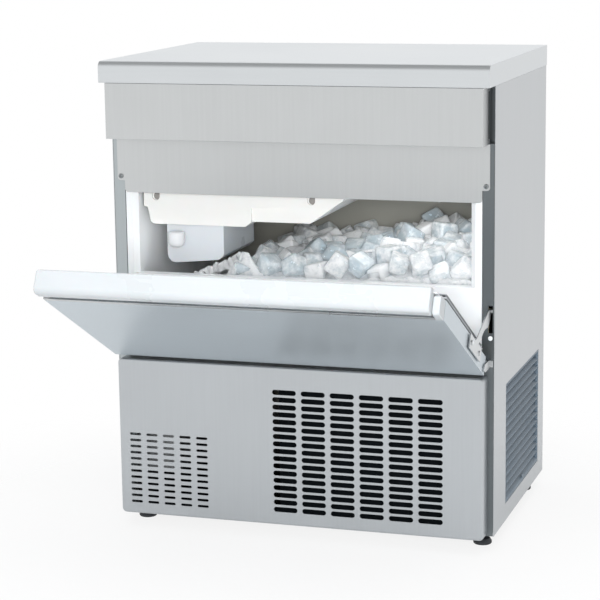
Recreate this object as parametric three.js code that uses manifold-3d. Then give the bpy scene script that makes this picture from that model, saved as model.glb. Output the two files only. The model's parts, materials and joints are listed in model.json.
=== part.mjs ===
// Under-counter ice maker with a drop-down bin door, shown open.
// Millimetres, +Z up, front facing -Y. Heights inside the cabinet count from the
// lower edge of the side panels, and depths from their front edge.

import * as THREE from 'three';
import { mergeVertices } from 'three/addons/utils/BufferGeometryUtils.js';
import Module from 'manifold-3d';

// cabinet
const bodyWidth = 630;
const bodyDepth = 403;
const bodyHeight = 711;
const floorGap = 25;
const sheet = 1.2;
const fit = 0.3;            // gap left between pieces that touch

// worktop
const topThickness = 34;
const topOverhangSide = 1;
const topOverhangFront = 48;
const topRound = 10;
const topHem = 18;

// front panels
const frontReach = 47;      // door and upper panel stand this far ahead of the side panels
const doorHalf = bodyWidth / 2 - 9;   // half width of the door and of the upper panel
const upperPanelHeight = 89;
const hoodBottom = bodyHeight - 180;
const hoodTabHeight = hoodBottom + 19;
const hoodHalf = doorHalf + 1;
const hoodFlange = 14;
const stileWidth = 20;
const stileInner = bodyWidth / 2 - stileWidth;
const stileDepth = 20;
const lowerPanelHeight = 261.5;
const lowerPanelHalf = doorHalf - 1;
const lowerPanelReach = 30;
const railHeight = 24;

// grilles in the lower panel: columns, rows, first slot's lower left corner
const wideGrille = { left: -40, base: 22, columns: 6, rows: 17, stepX: 48, stepZ: 12.13, long: 40,
  high: 8.3 };
const smallGrille = { left: -287, base: 19, columns: 5, rows: 12, stepX: 28.9, stepZ: 10.4, long: 19.4,
  high: 4.2 };

// louvre in the right side panel
const louvre = { front: 88, back: bodyDepth - 45, base: 28, top: 227, slats: 14, depth: 9 };

// ice bin
const binHalf = bodyWidth / 2 - 39;
const binFront = 22;
const binBack = bodyDepth - 53;
const binFloor = lowerPanelHeight + 30.5;
const binCeiling = bodyHeight - 21;
const binWall = 2.5;
const mouthHeight = 133;
const sillHeight = hoodBottom - mouthHeight;    // top of the bin's front wall
const mouthChamfer = 8;
const flangeFront = 1;

// door, measured from its hinge pin while shut
const pinReach = 37;        // pin ahead of the side panels
const pinHeight = lowerPanelHeight + 19.5;
const pinRadius = 4;
const pinClearance = 0.3;
const openAngle = 62;
const doorBelowPin = 7;
const doorTall = 343;       // reaches from below the pin up over the hood's lower edge
const doorReturn = 30;      // depth of the folded skin
const handleHeight = 48;
const handleProud = 2;
const handleDepth = 37;
const handleRound = 9;
const lipHeight = 24;
const grooveDepth = 12;
const trimHeight = 8;
const handleCapWidth = 11;
const handleCapDepth = 29;
const handleCapDrop = 17;
const gasketWidth = 12;
const gasketDepth = 12;
const gasketInset = 4;
const innerPanelRise = 5;

// door stays, flat arms that pass through slots in the stiles
const stayPlate = 2;
const staySide = doorHalf + 1.5;      // inner face of the stay plate
const slotBottom = pinHeight + 47;
const slotTop = pinHeight + 90;
const slotHalf = 3.4;
const stayInnerRadius = 62;
const stayPinRadius = 4;

// ice-making unit
const trayPivot = { x: 14 - binHalf, z: binCeiling - 176 };
const trayPinRadius = 3;
const trayFront = 22;
const trayBack = binBack - 44;
const trayTop = trayPivot.z + 36;
const trayLeft = 4 - binHalf;
const evaporatorGap = 1;
const evaporatorHeight = 31;
const cells = { columns: 7, rows: 6, size: 32, wall: 6, depth: 25 };
const frameTop = binCeiling - 4;
const armPivot = { x: trayLeft + 412, z: trayPivot.z - 6 };
const armLength = 60;
const armAngle = 150;
const armRollerRadius = 6;
const armPlane = 240;

// machine compartment
const compressorPlace = { x: -170, y: 225, radius: 66, top: 172 };
const condenserBox = { left: -20, right: 220, front: 32, back: 70, top: 215 };
const fanCentre = { x: 100, z: 118 };
const fanRadius = 82;
const footRadius = 15;
const footPlaces = { x: bodyWidth / 2 - 27, front: 42, back: bodyDepth - 43 };

const wasm = await Module();
wasm.setup();

function toSolid(shape) {
  if (!shape.isBufferGeometry) return shape;
  const bare = shape.clone();
  bare.deleteAttribute('normal');
  bare.deleteAttribute('uv');
  const merged = mergeVertices(bare, 1e-4);
  return new wasm.Manifold(new wasm.Mesh({
    numProp: 3,
    vertProperties: Float32Array.from(merged.attributes.position.array),
    triVerts: Uint32Array.from(merged.index.array),
  }));
}

function join(...shapes) {
  return shapes.map(toSolid).reduce((whole, next) => whole.add(next));
}

function cut(base, ...tools) {
  return tools.map(toSolid).reduce((whole, next) => whole.subtract(next), toSolid(base));
}

function toGeometry(solid) {
  if (solid.isBufferGeometry) return solid;
  const { vertProperties, triVerts } = solid.getMesh();
  const indexed = new THREE.BufferGeometry();
  indexed.setAttribute('position', new THREE.BufferAttribute(vertProperties, 3));
  indexed.setIndex(new THREE.BufferAttribute(triVerts, 1));
  const flat = indexed.toNonIndexed();
  flat.computeVertexNormals();
  return flat;
}

function block(x0, x1, y0, y1, z0, z1) {
  const geometry = new THREE.BoxGeometry(x1 - x0, y1 - y0, z1 - z0);
  return geometry.translate((x0 + x1) / 2, (y0 + y1) / 2, (z0 + z1) / 2);
}

// a block centred on x = 0
function across(half, y0, y1, z0, z1) {
  return block(-half, half, y0, y1, z0, z1);
}

function outline(points) {
  return new THREE.Shape(points.map(([u, v]) => new THREE.Vector2(u, v)));
}

function rectangle(u0, v0, u1, v1) {
  return [[u0, v0], [u1, v0], [u1, v1], [u0, v1]];
}

// points of an arc, angles in degrees
function arc(u, v, radius, from, to, steps) {
  return Array.from({ length: steps + 1 }, (_, i) => {
    const angle = THREE.MathUtils.degToRad(from + (to - from) * i / steps);
    return [u + radius * Math.cos(angle), v + radius * Math.sin(angle)];
  });
}

function extrude(shape, length) {
  return new THREE.ExtrudeGeometry(shape, { depth: length, bevelEnabled: false, curveSegments: 6 });
}

// an outline in (y, z) carried along X
function alongX(shape, x0, x1) {
  const turn = new THREE.Matrix4().makeBasis(
    new THREE.Vector3(0, 1, 0), new THREE.Vector3(0, 0, 1), new THREE.Vector3(1, 0, 0));
  return extrude(shape, x1 - x0).applyMatrix4(turn).translate(x0, 0, 0);
}

// an outline in (x, z) carried along Y
function alongY(shape, y0, y1) {
  const turn = new THREE.Matrix4().makeBasis(
    new THREE.Vector3(1, 0, 0), new THREE.Vector3(0, 0, 1), new THREE.Vector3(0, -1, 0));
  return extrude(shape, y1 - y0).applyMatrix4(turn).translate(0, y1, 0);
}

// an outline in (x, y) carried along Z
function alongZ(shape, z0, z1) {
  return extrude(shape, z1 - z0).translate(0, 0, z0);
}

function rodX(radius, x0, x1, y, z, sides = 16) {
  return new THREE.CylinderGeometry(radius, radius, x1 - x0, sides)
    .rotateZ(Math.PI / 2).translate((x0 + x1) / 2, y, z);
}

function rodY(radius, y0, y1, x, z, sides = 16) {
  return new THREE.CylinderGeometry(radius, radius, y1 - y0, sides).translate(x, (y0 + y1) / 2, z);
}

function rodZ(radius, z0, z1, x, y, sides = 16) {
  return new THREE.CylinderGeometry(radius, radius, z1 - z0, sides)
    .rotateX(Math.PI / 2).translate(x, y, (z0 + z1) / 2);
}

// a profile of [radius, height] points turned about Z
function turned(profile, sides = 24) {
  const points = profile.map(([r, h]) => new THREE.Vector2(r, h));
  return new THREE.LatheGeometry(points, sides).rotateX(Math.PI / 2);
}

function tube(points, radius, steps, sides = 8) {
  const path = new THREE.CatmullRomCurve3(points.map((p) => new THREE.Vector3(...p)), false, 'catmullrom',
    0.4);
  const section = outline(arc(0, 0, radius, 0, 360 - 360 / sides, sides - 1));
  return new THREE.ExtrudeGeometry(section, { steps, bevelEnabled: false, extrudePath: path });
}

// a folded tray of sheet metal, open towards +Y
function backOpenPan(half, front, back, base, top, wall = sheet) {
  const inside = across(half - wall, front + wall, back + 1, base + wall, top - wall);
  return cut(across(half, front, back, base, top), inside);
}

function finish(color, roughness, metalness) {
  return () => new THREE.MeshStandardMaterial({ color, roughness, metalness });
}

const brushedSteel = finish(0xb9bdc1, 0.35, 0.9);
const galvanised = finish(0x9a9ea2, 0.5, 0.8);
const stileSteel = finish(0x8c9194, 0.45, 0.8);
const whitePlastic = finish(0xf2f4f5, 0.4, 0);
const creamPlastic = finish(0xeeede8, 0.45, 0);
const greyPlastic = finish(0x7f8d97, 0.5, 0);
const darkPlastic = finish(0x22262a, 0.6, 0);
const foam = finish(0xe6d9a8, 0.9, 0);
const rubber = finish(0x3c4044, 0.8, 0);
const blackPaint = finish(0x18191b, 0.5, 0.3);
const copper = finish(0xb5714a, 0.35, 0.9);
const brass = finish(0xb89a52, 0.35, 0.9);
const zinc = finish(0xc3c7ca, 0.35, 0.9);
const ice = finish(0xdde8f0, 0.15, 0);

function addPart(group, name, shape, makeMaterial) {
  const mesh = new THREE.Mesh(toGeometry(shape), makeMaterial());
  mesh.name = name;
  group.add(mesh);
  return mesh;
}

const sides = [['left', -1], ['right', 1]];
const bodyHalf = bodyWidth / 2;
const panelInner = bodyHalf - sheet;
const shellTop = bodyHeight - fit;

const cabinet = new THREE.Group();
cabinet.position.z = floorGap;

function worktopProfile(inset) {
  const front = -topOverhangFront + inset;
  const back = bodyDepth - inset;
  const base = bodyHeight + inset;
  const top = bodyHeight + topThickness - inset;
  const round = topRound - inset;
  return outline([
    [front, base], [back, base], [back, top],
    ...arc(front + round, top - round, round, 90, 180, 4),
  ]);
}

function addWorktop() {
  const half = bodyHalf + topOverhangSide;
  const shell = alongX(worktopProfile(0), -half, half);
  const hollow = alongX(worktopProfile(sheet), -half + sheet, half - sheet);
  const underside = across(half - topHem, -topOverhangFront + topHem, bodyDepth - topHem,
    bodyHeight - 1, bodyHeight + 2 * sheet);
  addPart(cabinet, 'worktop', cut(shell, hollow, underside), brushedSteel);
}

function addSidePanels() {
  addPart(cabinet, 'left_side_panel', block(-bodyHalf, -panelInner, 0, bodyDepth, 0, shellTop),
    brushedSteel);
  const window = block(panelInner - 1, bodyHalf + 1, louvre.front, louvre.back, louvre.base, louvre.top);
  const right = cut(block(panelInner, bodyHalf, 0, bodyDepth, 0, shellTop), window);
  addPart(cabinet, 'right_side_panel', right, brushedSteel);
}

// slats between two rails: each leans outwards to its lower edge, with a slit above it
function addLouvre() {
  const front = louvre.front + fit;
  const back = louvre.back - fit;
  const base = louvre.base + fit;
  const top = louvre.top - fit;
  const face = bodyHalf - 0.5;
  const web = bodyHalf - louvre.depth;
  const border = 4;
  const pitch = (top - base - 2 * border) / louvre.slats;
  const frame = cut(
    block(web, face, front, back, base, top),
    block(web - 1, face + 1, front + border, back - border, base + border, top - border));
  const slats = Array.from({ length: louvre.slats }, (_, i) => {
    const foot = base + border + i * pitch;
    return alongY(outline([
      [face - 1.2, foot], [face, foot], [face, foot + 1.4], [web + 1.5, foot + pitch * 0.52], [web,
      foot + pitch * 0.52],
    ]), front + border - 1, back - border + 1);
  });
  const middle = (front + back) / 2 + 7;
  const latch = block(face - 1, face + 0.4, middle - 5, middle + 5, base, base + 12);
  addPart(cabinet, 'side_louvre', join(frame, ...slats, latch), greyPlastic);
}

const inletPlace = { x: 210, z: 210, radius: 9 };
const drainPlace = { x: 262, z: 45, radius: 13 };
const glandPlace = { x: -250, z: 70, radius: 7 };

function addRearPanel() {
  const half = panelInner - fit;
  const back = bodyDepth;
  const plate = across(half, back - sheet, back, fit, shellTop);
  const holes = [inletPlace, drainPlace, glandPlace].map((place) =>
    rodY(place.radius + fit, back - 5, back + 5, place.x, place.z));
  const vents = [];
  for (let row = 0; row < 6; row += 1) {
    for (const left of [-170, -50, 70]) {
      vents.push(block(left, left + 90, back - 5, back + 5, 130 + row * 16, 136 + row * 16));
    }
  }
  addPart(cabinet, 'rear_panel', cut(plate, ...holes, ...vents), galvanised);
}

function addUpperFrontPanel() {
  const base = bodyHeight - upperPanelHeight;
  const panel = backOpenPan(doorHalf, -frontReach, -fit, base, shellTop);
  const reliefs = sides.map(([, side]) => across(3, -10, 1, base + 8,
    shellTop - 8).translate(side * doorHalf, 0, 0));
  addPart(cabinet, 'upper_front_panel', cut(panel, ...reliefs), brushedSteel);
}

const hoodFront = -sheet - fit;
const hoodTop = bodyHeight - upperPanelHeight - fit;
const screwPlace = { x: stileInner + 6, z: hoodTabHeight + 7 };

function addHoodPanel() {
  const low = stileInner - fit;
  const corner = 5;
  const face = alongY(outline([
    ...arc(-low + corner, hoodBottom + corner, corner, 180, 270, 3),
    ...arc(low - corner, hoodBottom + corner, corner, 270, 360, 3), [low, hoodTabHeight],
    ...arc(hoodHalf - corner, hoodTabHeight + corner, corner, 270, 360, 3), [hoodHalf, hoodTop],
    [-hoodHalf, hoodTop], ...arc(-hoodHalf + corner, hoodTabHeight + corner, corner, 180, 270, 3), [-low,
    hoodTabHeight],
  ]), hoodFront, -fit);
  const flangeHalf = binHalf - fit;
  const flange = across(flangeHalf, -sheet, hoodFlange, hoodBottom, hoodBottom + sheet);
  const screwHoles = sides.map(([, side]) => rodY(2.3, -5, 5, side * screwPlace.x, screwPlace.z, 12));
  addPart(cabinet, 'hood_panel', cut(join(face, flange), ...screwHoles), brushedSteel);
}

function addHoodScrews() {
  for (const [name, side] of sides) {
    const head = turned([[0, 0], [4, 0], [4, 0.8], [2.6, 2.2], [0, 2.6]], 16)
      .rotateX(Math.PI / 2).translate(side * screwPlace.x, hoodFront - fit, screwPlace.z);
    const shank = rodY(2, hoodFront - fit - 0.1, 8, side * screwPlace.x, screwPlace.z, 12);
    addPart(cabinet, `hood_screw_${name}`, join(head, shank), zinc);
  }
}

const slotMiddle = staySide + stayPlate / 2;
const notchWeb = 12;      // the web behind the gap beside the upper panel lies this far back

function addStiles() {
  for (const [name, side] of sides) {
    const face = block(stileInner, panelInner - fit, 0, sheet, fit, shellTop);
    const fold = block(stileInner, stileInner + sheet, 0, stileDepth, fit, shellTop);
    const slot = block(slotMiddle - slotHalf, slotMiddle + slotHalf, -1, sheet + 1, slotBottom, slotTop);
    const screwHole = rodY(2.3, -1, 5, screwPlace.x, screwPlace.z, 12);
    const plug = rodY(3.4, -1.6, 0.1, slotMiddle, slotBottom - 8, 12);
    const notch = block(doorHalf + fit, panelInner, -1, sheet + 1, hoodTop + 1, shellTop + 1);
    const web = block(stileInner, panelInner - fit, notchWeb, notchWeb + sheet, hoodTop - 12, shellTop);
    const stile = toGeometry(join(cut(join(face, fold, plug), slot, screwHole, notch), web));
    addPart(cabinet, `${name}_stile`, mirrored(stile, side), stileSteel);
  }
}

// a right-hand piece, turned into its left-hand twin where side is -1
function mirrored(shape, side) {
  if (side > 0) return shape;
  const geometry = toGeometry(shape).clone().scale(-1, 1, 1);
  const position = geometry.attributes.position;
  const flipped = position.array.slice();
  for (let i = 0; i < flipped.length; i += 9) {
    for (let axis = 0; axis < 3; axis += 1) {
      flipped[i + 3 + axis] = position.array[i + 6 + axis];
      flipped[i + 6 + axis] = position.array[i + 3 + axis];
    }
  }
  geometry.setAttribute('position', new THREE.BufferAttribute(flipped, 3));
  geometry.computeVertexNormals();
  return geometry;
}

function addFrontRail() {
  const half = stileInner - fit;
  const base = lowerPanelHeight + 0.5;
  const top = base + railHeight;
  const rail = join(
    across(half, sheet + fit, 2 * sheet + fit, base, top),
    across(half, sheet + fit, stileDepth, base, base + sheet));
  addPart(cabinet, 'front_rail', rail, blackPaint);
}

function slotCutters(grille, y0, y1) {
  const cutters = [];
  for (let column = 0; column < grille.columns; column += 1) {
    for (let row = 0; row < grille.rows; row += 1) {
      const u = grille.left + column * grille.stepX;
      const v = grille.base + row * grille.stepZ;
      cutters.push(block(u, u + grille.long, y0, y1, v, v + grille.high));
    }
  }
  return cutters;
}

function addLowerFrontPanel() {
  const front = -lowerPanelReach;
  const pan = backOpenPan(lowerPanelHalf, front, -fit, fit, lowerPanelHeight);
  const slots = [wideGrille, smallGrille].flatMap((grille) => slotCutters(grille, front - 1, front + 4));
  addPart(cabinet, 'lower_front_panel', cut(pan, ...slots), brushedSteel);
}

const panWall = 1.5;
const panFloorTop = fit + panWall;
const onPan = panFloorTop + fit;

function addBasePan() {
  const half = panelInner - fit;
  const front = stileDepth + fit;
  const back = bodyDepth - sheet - fit;
  const pan = cut(
    across(half, front, back, fit, 14),
    across(half - panWall, front + panWall, back - panWall, panFloorTop, 20));
  addPart(cabinet, 'base_pan', pan, galvanised);
}

function addFeet() {
  for (const [name, side] of sides) {
    for (const [end, depth] of [['front', footPlaces.front], ['back', footPlaces.back]]) {
      const profile = [[0, -floorGap], [footRadius - 2, -floorGap], [footRadius, -floorGap + 3],
        [footRadius - 3, -floorGap + 10], [6, -floorGap + 12], [6, 0], [0, 0]];
      const foot = turned(profile, 16).translate(side * footPlaces.x, depth, 0);
      addPart(cabinet, `foot_${end}_${name}`, foot, darkPlastic);
    }
  }
}

// a round fitting through the rear panel: collar outside, stub behind, spigot inside
function fitting(place, stub, collar, spigot) {
  const back = bodyDepth + fit;
  return join(
    rodY(place.radius, back - spigot, back + stub, place.x, place.z, 20),
    rodY(place.radius + collar, back, back + 3, place.x, place.z, 6));
}

function addServices() {
  const inlet = cut(fitting(inletPlace, 12, 6, 12),
    rodY(inletPlace.radius - 3, bodyDepth, bodyDepth + 20, inletPlace.x, inletPlace.z));
  addPart(cabinet, 'water_inlet', inlet, brass);
  const drain = cut(fitting(drainPlace, 12, 5, 12),
    rodY(drainPlace.radius - 2.5, bodyDepth - 20, bodyDepth + 20, drainPlace.x, drainPlace.z));
  addPart(cabinet, 'drain_outlet', drain, whitePlastic);
  const gland = cut(fitting(glandPlace, 9, 4, 10),
    rodY(glandPlace.radius - 3, bodyDepth - 20, bodyDepth + 20, glandPlace.x, glandPlace.z));
  addPart(cabinet, 'cord_gland', gland, darkPlastic);
  const valveBack = bodyDepth - 12 - fit;
  const valve = join(
    block(inletPlace.x - 14, inletPlace.x + 14, valveBack - 40, valveBack, inletPlace.z - 14,
      inletPlace.z + 14),
    rodZ(15, inletPlace.z + 10, lowerPanelHeight + 0.2, inletPlace.x, valveBack - 20));
  addPart(cabinet, 'water_valve', valve, darkPlastic);
}

function addCompressor() {
  const { x, y, radius, top } = compressorPlace;
  const can = turned([[0, 18], [radius - 16, 18], [radius, 32], [radius, top - 40],
    [radius - 8, top - 18], [radius - 30, top - 3], [0, top]], 24).translate(x, y, 0);
  const plate = block(x - 72, x + 72, y - 62, y + 62, 15, 18.5);
  const grommets = [[-1, -1], [1, -1], [1, 1], [-1, 1]].map(([u, v]) =>
    rodZ(11, onPan, 15.5, x + u * 58, y + v * 48, 12));
  addPart(cabinet, 'compressor', join(can, plate, ...grommets), blackPaint);
}

// a block of upright fins on a back sheet
function addCondenser() {
  const { left, right, front, back, top } = condenserBox;
  const pitch = 12;
  const count = Math.floor((right - left) / pitch);
  const fins = Array.from({ length: count }, (_, i) => {
    const u = left + i * pitch;
    return [[u, front], [u + 3, front], [u + 3, back - 6], [u + pitch, back - 6]];
  }).flat();
  const section = outline([...fins, [left + count * pitch, back], [left, back]].reverse());
  addPart(cabinet, 'condenser', alongZ(section, onPan, top), blackPaint);
}

function addFilter() {
  const { left, right, front, top } = condenserBox;
  const filter = cut(
    block(left - 26, right + 26, front - 10, front - 6, onPan, top + 12),
    block(left - 20, right + 20, front - 11, front - 8, 12, top + 6));
  addPart(cabinet, 'air_filter', filter, darkPlastic);
}

function addFan() {
  const { left, right, back, top } = condenserBox;
  const plateFront = back + fit;
  const shroud = cut(
    block(left, right, plateFront, plateFront + 14, onPan, top),
    rodY(fanRadius + 4, plateFront - 1, plateFront + 20, fanCentre.x, fanCentre.z, 32));
  addPart(cabinet, 'fan_shroud', shroud, darkPlastic);

  const motorFront = plateFront + 22;
  const motor = join(
    rodY(34, motorFront, motorFront + 48, fanCentre.x, fanCentre.z, 24),
    rodY(4, plateFront + 2, motorFront + 1, fanCentre.x, fanCentre.z, 12),
    block(fanCentre.x - 20, fanCentre.x + 20, motorFront + 8, motorFront + 12, onPan, fanCentre.z),
    block(fanCentre.x - 30, fanCentre.x + 30, motorFront + 8, motorFront + 40, onPan, onPan + 3));
  addPart(cabinet, 'fan_motor', motor, blackPaint);

  const fan = new THREE.Group();
  fan.position.set(fanCentre.x, plateFront + 11, fanCentre.z);
  cabinet.add(fan);
  const blades = Array.from({ length: 5 }, (_, i) => {
    const blade = block(12, fanRadius, -0.8, 0.8, -19, 19);
    return blade.rotateX(0.42).rotateY(i * 2 * Math.PI / 5);
  });
  const hub = rodY(18, -8, 8, 0, 0, 20);
  const bore = rodY(4 + fit, -20, 20, 0, 0, 12);
  addPart(fan, 'fan_blade', cut(join(hub, ...blades), bore), darkPlastic);
}

const pipeGap = 0.8;

function addPipes() {
  const { x, y, radius } = compressorPlace;
  const { left, back } = condenserBox;
  const start = x + radius + pipeGap;
  const discharge = tube([[start, y, 120], [start + 20, y - 4, 122], [start + 48, y - 60, 150],
    [left - 24, back + 30, 190], [left - 20, back - 14, 196], [left - pipeGap, back - 14, 196]], 4, 22);
  addPart(cabinet, 'discharge_pipe', discharge, copper);
  const drierX = left - 30;
  const drierY = y + 100;
  const liquid = join(
    tube([[left - pipeGap, back - 8, 60], [left - 16, back - 8, 60], [left - 34, back + 60, 62],
      [drierX, drierY - 30, 66], [drierX, drierY, 84], [drierX, drierY, 120]], 3, 20),
    turned([[0, 90], [4, 90], [11, 98], [11, 170], [4, 178], [0, 178]], 16).translate(drierX, drierY, 0),
    rodZ(3, 170, lowerPanelHeight + 0.2, drierX, drierY, 8));
  addPart(cabinet, 'liquid_line', liquid, copper);
  const suction = tube([[x, y + radius + pipeGap, 110], [x, y + radius + 16, 111], [x - 4,
    y + radius + 36, 140],
    [x - 4, y + radius + 40, 200], [x - 4, y + radius + 40, lowerPanelHeight + 0.2]], 5, 18);
  addPart(cabinet, 'suction_line', suction, copper);
}

function addControlBox() {
  const left = -panelInner + fit;
  const shell = cut(
    block(left, left + 88, 28, 118, 62, 236),
    block(left + panWall, left + 90, 28 + panWall, 118 - panWall, 62 + panWall, 236 - panWall));
  const relay = block(left + 1, left + 45, 50, 96, 80, 130);
  const board = block(left + 1, left + 12, 40, 106, 145, 222);
  addPart(cabinet, 'control_box', join(shell, relay, board), galvanised);
}

const flangeBack = flangeFront + binWall;
const flangeTop = binCeiling + binWall + 0.5;

function addBinLiner() {
  const flangeHalf = stileInner - 2 * fit;
  const tub = across(binHalf + binWall, flangeFront, binBack + binWall, binFloor - binWall,
    binCeiling + binWall);
  const flange = across(flangeHalf, flangeFront, flangeBack, binFloor - binWall, flangeTop);
  const cavity = across(binHalf, binFront, binBack, binFloor, binCeiling);
  const mouth = alongZ(outline([
    [-binHalf - mouthChamfer - 1, flangeFront - 1], [binHalf + mouthChamfer + 1, flangeFront - 1],
    [binHalf, flangeFront + mouthChamfer], [binHalf, binFront + 1],
    [-binHalf, binFront + 1], [-binHalf, flangeFront + mouthChamfer],
  ]), sillHeight, binCeiling);
  const jambReach = binHalf + mouthChamfer + binWall;
  const jambs = across(jambReach, flangeFront, flangeFront + mouthChamfer + binWall, sillHeight, flangeTop);
  addPart(cabinet, 'bin_liner', cut(join(tub, flange, jambs), cavity, mouth), whitePlastic);
}

function addInsulation() {
  const half = panelInner - fit;
  const clearOfLiner = binWall + fit;
  const front = stileDepth + fit;
  const shell = across(half, front, bodyDepth - sheet - fit, lowerPanelHeight + 0.5, shellTop - fit);
  const room = across(binHalf + clearOfLiner, front - 1, binBack + clearOfLiner,
    binFloor - clearOfLiner, binCeiling + clearOfLiner);
  const reach = doorTall * 0.3 - pinReach;
  const pockets = sides.map(([, side]) => {
    const near = staySide - 6;
    const pocket = block(near, half + 1, front - 1, reach, pinHeight - 12, slotTop + 3);
    return mirrored(toGeometry(toSolid(pocket)), side);
  });
  addPart(cabinet, 'insulation', cut(shell, room, ...pockets), foam);
}

const rodFront = 32;
const rodBack = trayBack + 8;
const strapThick = 2;

function addUnitFrame() {
  const left = trayPivot.x - 9;
  const right = armPivot.x + 36;
  const plate = block(left, right, rodFront, rodBack, frameTop, binCeiling - fit);
  const straps = [rodFront, rodBack - strapThick].map((y) =>
    block(left, trayPivot.x + 9, y, y + strapThick, trayPivot.z - 9, frameTop + 1));
  const motorArm = block(right - strapThick, right, armPlane - 30, armPlane + 60, armPivot.z - 10,
    frameTop + 1);
  const bores = rodY(trayPinRadius + fit, 0, rodBack + 9, trayPivot.x, trayPivot.z);
  addPart(cabinet, 'unit_frame', cut(join(plate, ...straps, motorArm), bores), galvanised);
  const rod = join(
    rodY(trayPinRadius, rodFront - 4, rodBack + 4, trayPivot.x, trayPivot.z),
    rodY(trayPinRadius + 2, rodFront - 4, rodFront - fit, trayPivot.x, trayPivot.z),
    rodY(trayPinRadius + 2, rodBack + fit, rodBack + 4, trayPivot.x, trayPivot.z));
  addPart(cabinet, 'tray_pivot_rod', rod, zinc);
}

const evaporatorBase = trayTop + evaporatorGap;
const evaporatorTop = evaporatorBase + evaporatorHeight;
const evaporatorLeft = trayLeft + 40;
const evaporatorFront = trayFront + 40;
const cellPitch = cells.size + cells.wall;
const evaporatorRight = evaporatorLeft + cells.columns * cellPitch + cells.wall;
const evaporatorBack = evaporatorFront + cells.rows * cellPitch + cells.wall;

function addEvaporator() {
  const pockets = [];
  for (let column = 0; column < cells.columns; column += 1) {
    for (let row = 0; row < cells.rows; row += 1) {
      const u = evaporatorLeft + cells.wall + column * cellPitch;
      const v = evaporatorFront + cells.wall + row * cellPitch;
      pockets.push(block(u, u + cells.size, v, v + cells.size, evaporatorBase - 1,
        evaporatorBase + cells.depth));
    }
  }
  const plate = block(evaporatorLeft, evaporatorRight, evaporatorFront, evaporatorBack, evaporatorBase,
    evaporatorTop);
  const posts = [evaporatorLeft + 10, evaporatorRight - 10].flatMap((u) =>
    [evaporatorFront + 10, evaporatorBack - 10].map((v) => rodZ(5, evaporatorTop - 1, frameTop - fit, u,
    v, 10)));
  addPart(cabinet, 'evaporator', join(cut(plate, ...pockets), ...posts), copper);
}

function addEvaporatorCoil() {
  const radius = 5;
  const height = evaporatorTop + fit + radius;
  const passes = 5;
  const from = evaporatorLeft + 40;
  const to = evaporatorRight - 40;
  const pitch = (evaporatorBack - evaporatorFront - 50) / (passes - 1);
  const points = [];
  for (let i = 0; i < passes; i += 1) {
    const y = evaporatorFront + 25 + i * pitch;
    const [start, end] = i % 2 ? [to, from] : [from, to];
    points.push([start, y, height], [(start + end) / 2, y, height], [end, y, height]);
    if (i < passes - 1) points.push([end + (end > start ? 16 : -16), y + pitch / 2, height]);
  }
  addPart(cabinet, 'evaporator_coil', tube(points, radius, 76, 6), copper);
}

const tiltingTray = new THREE.Group();
tiltingTray.position.set(trayPivot.x, 0, trayPivot.z);
cabinet.add(tiltingTray);

// moves a shape made in cabinet places into the tray's own group
function fromPivot(shape) {
  return toGeometry(shape).clone().translate(-trayPivot.x, 0, -trayPivot.z);
}

const trayFloor = trayTop - 73;
const trayWall = 4;
const trayStep = { x: trayLeft + 179, rise: 8 };
const trayEnd = { base: trayLeft + 280, slope: trayLeft + 338, slopeHeight: trayTop - 26,
  top: trayLeft + 342 };
const rimBase = trayTop - 38;
const notchRadius = 6.5;
const notchDepth = 3.4;

function addWaterTray() {
  const back = trayBack;
  const right = trayEnd.top;
  const shallow = trayFloor + trayStep.rise;
  const lean = (trayEnd.slope - trayEnd.base) / (trayEnd.slopeHeight - shallow);
  const slopeAt = (z) => trayEnd.base + lean * (z - shallow);
  const rim = outline([
    [trayLeft, rimBase - 6], [trayLeft + 6, rimBase - 8], [slopeAt(rimBase), rimBase],
    [trayEnd.slope, trayEnd.slopeHeight], [right, trayTop], [trayLeft, trayTop],
  ]);
  const deep = outline([
    [trayLeft + 5, rimBase], [trayLeft + 10, trayFloor + 10], ...arc(trayLeft + 19, trayFloor + 9, 9, 190,
    270, 3),
    [trayStep.x - 5, trayFloor], [trayStep.x + 5, shallow], [trayStep.x + 5, rimBase],
  ]);
  const flat = outline([
    [trayStep.x, shallow], ...arc(trayEnd.base, shallow + 6, 6, 270, 320, 2), [slopeAt(rimBase), rimBase],
    [trayStep.x, rimBase],
  ]);
  const body = join(
    alongY(rim, trayFront, back),
    alongY(deep, trayFront, back),
    alongY(flat, trayFront + 6, back));
  const basin = alongY(outline([
    [trayLeft + 20, trayFloor + trayWall], [trayStep.x - 7, trayFloor + trayWall], [trayStep.x + 3,
    shallow + trayWall],
    [trayEnd.base - 3, shallow + trayWall], [trayEnd.slope - 7, trayEnd.slopeHeight], [right - 6,
    trayTop + 1],
    [trayLeft + 20, trayTop + 1],
  ]), trayFront + 2 * trayWall, back - 2 * trayWall);
  const notches = [trayLeft + 21, trayEnd.base + 5].map((x) => join(
    rodY(notchRadius, trayFront - 1, trayFront + notchDepth, x, rimBase + 10),
    block(x - notchRadius, x + notchRadius, trayFront - 1, trayFront + notchDepth, rimBase + 10,
      rimBase + 24)));
  const outflow = block(trayLeft + 46, trayLeft + 58, 60, 175, trayFloor - 5, trayTop);
  const knuckleRoom = [[rodFront - 6, rodFront + 6], [rodBack - 16, rodBack + 6]].map(([y0, y1]) =>
    block(trayLeft - 1, trayPivot.x + 11, y0, y1, trayPivot.z - 11, trayTop + 1));
  const bore = rodY(trayPinRadius + pinClearance, rodFront, rodBack + 9, trayPivot.x, trayPivot.z);
  const lug = block(right - 6, right + 42, armPlane - 12, armPlane + 2, armRestTop, armRestTop + 4);
  const tray = join(cut(body, basin, ...notches, outflow, ...knuckleRoom, bore), lug);
  addPart(tiltingTray, 'water_tray', fromPivot(tray), creamPlastic);
}

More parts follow.
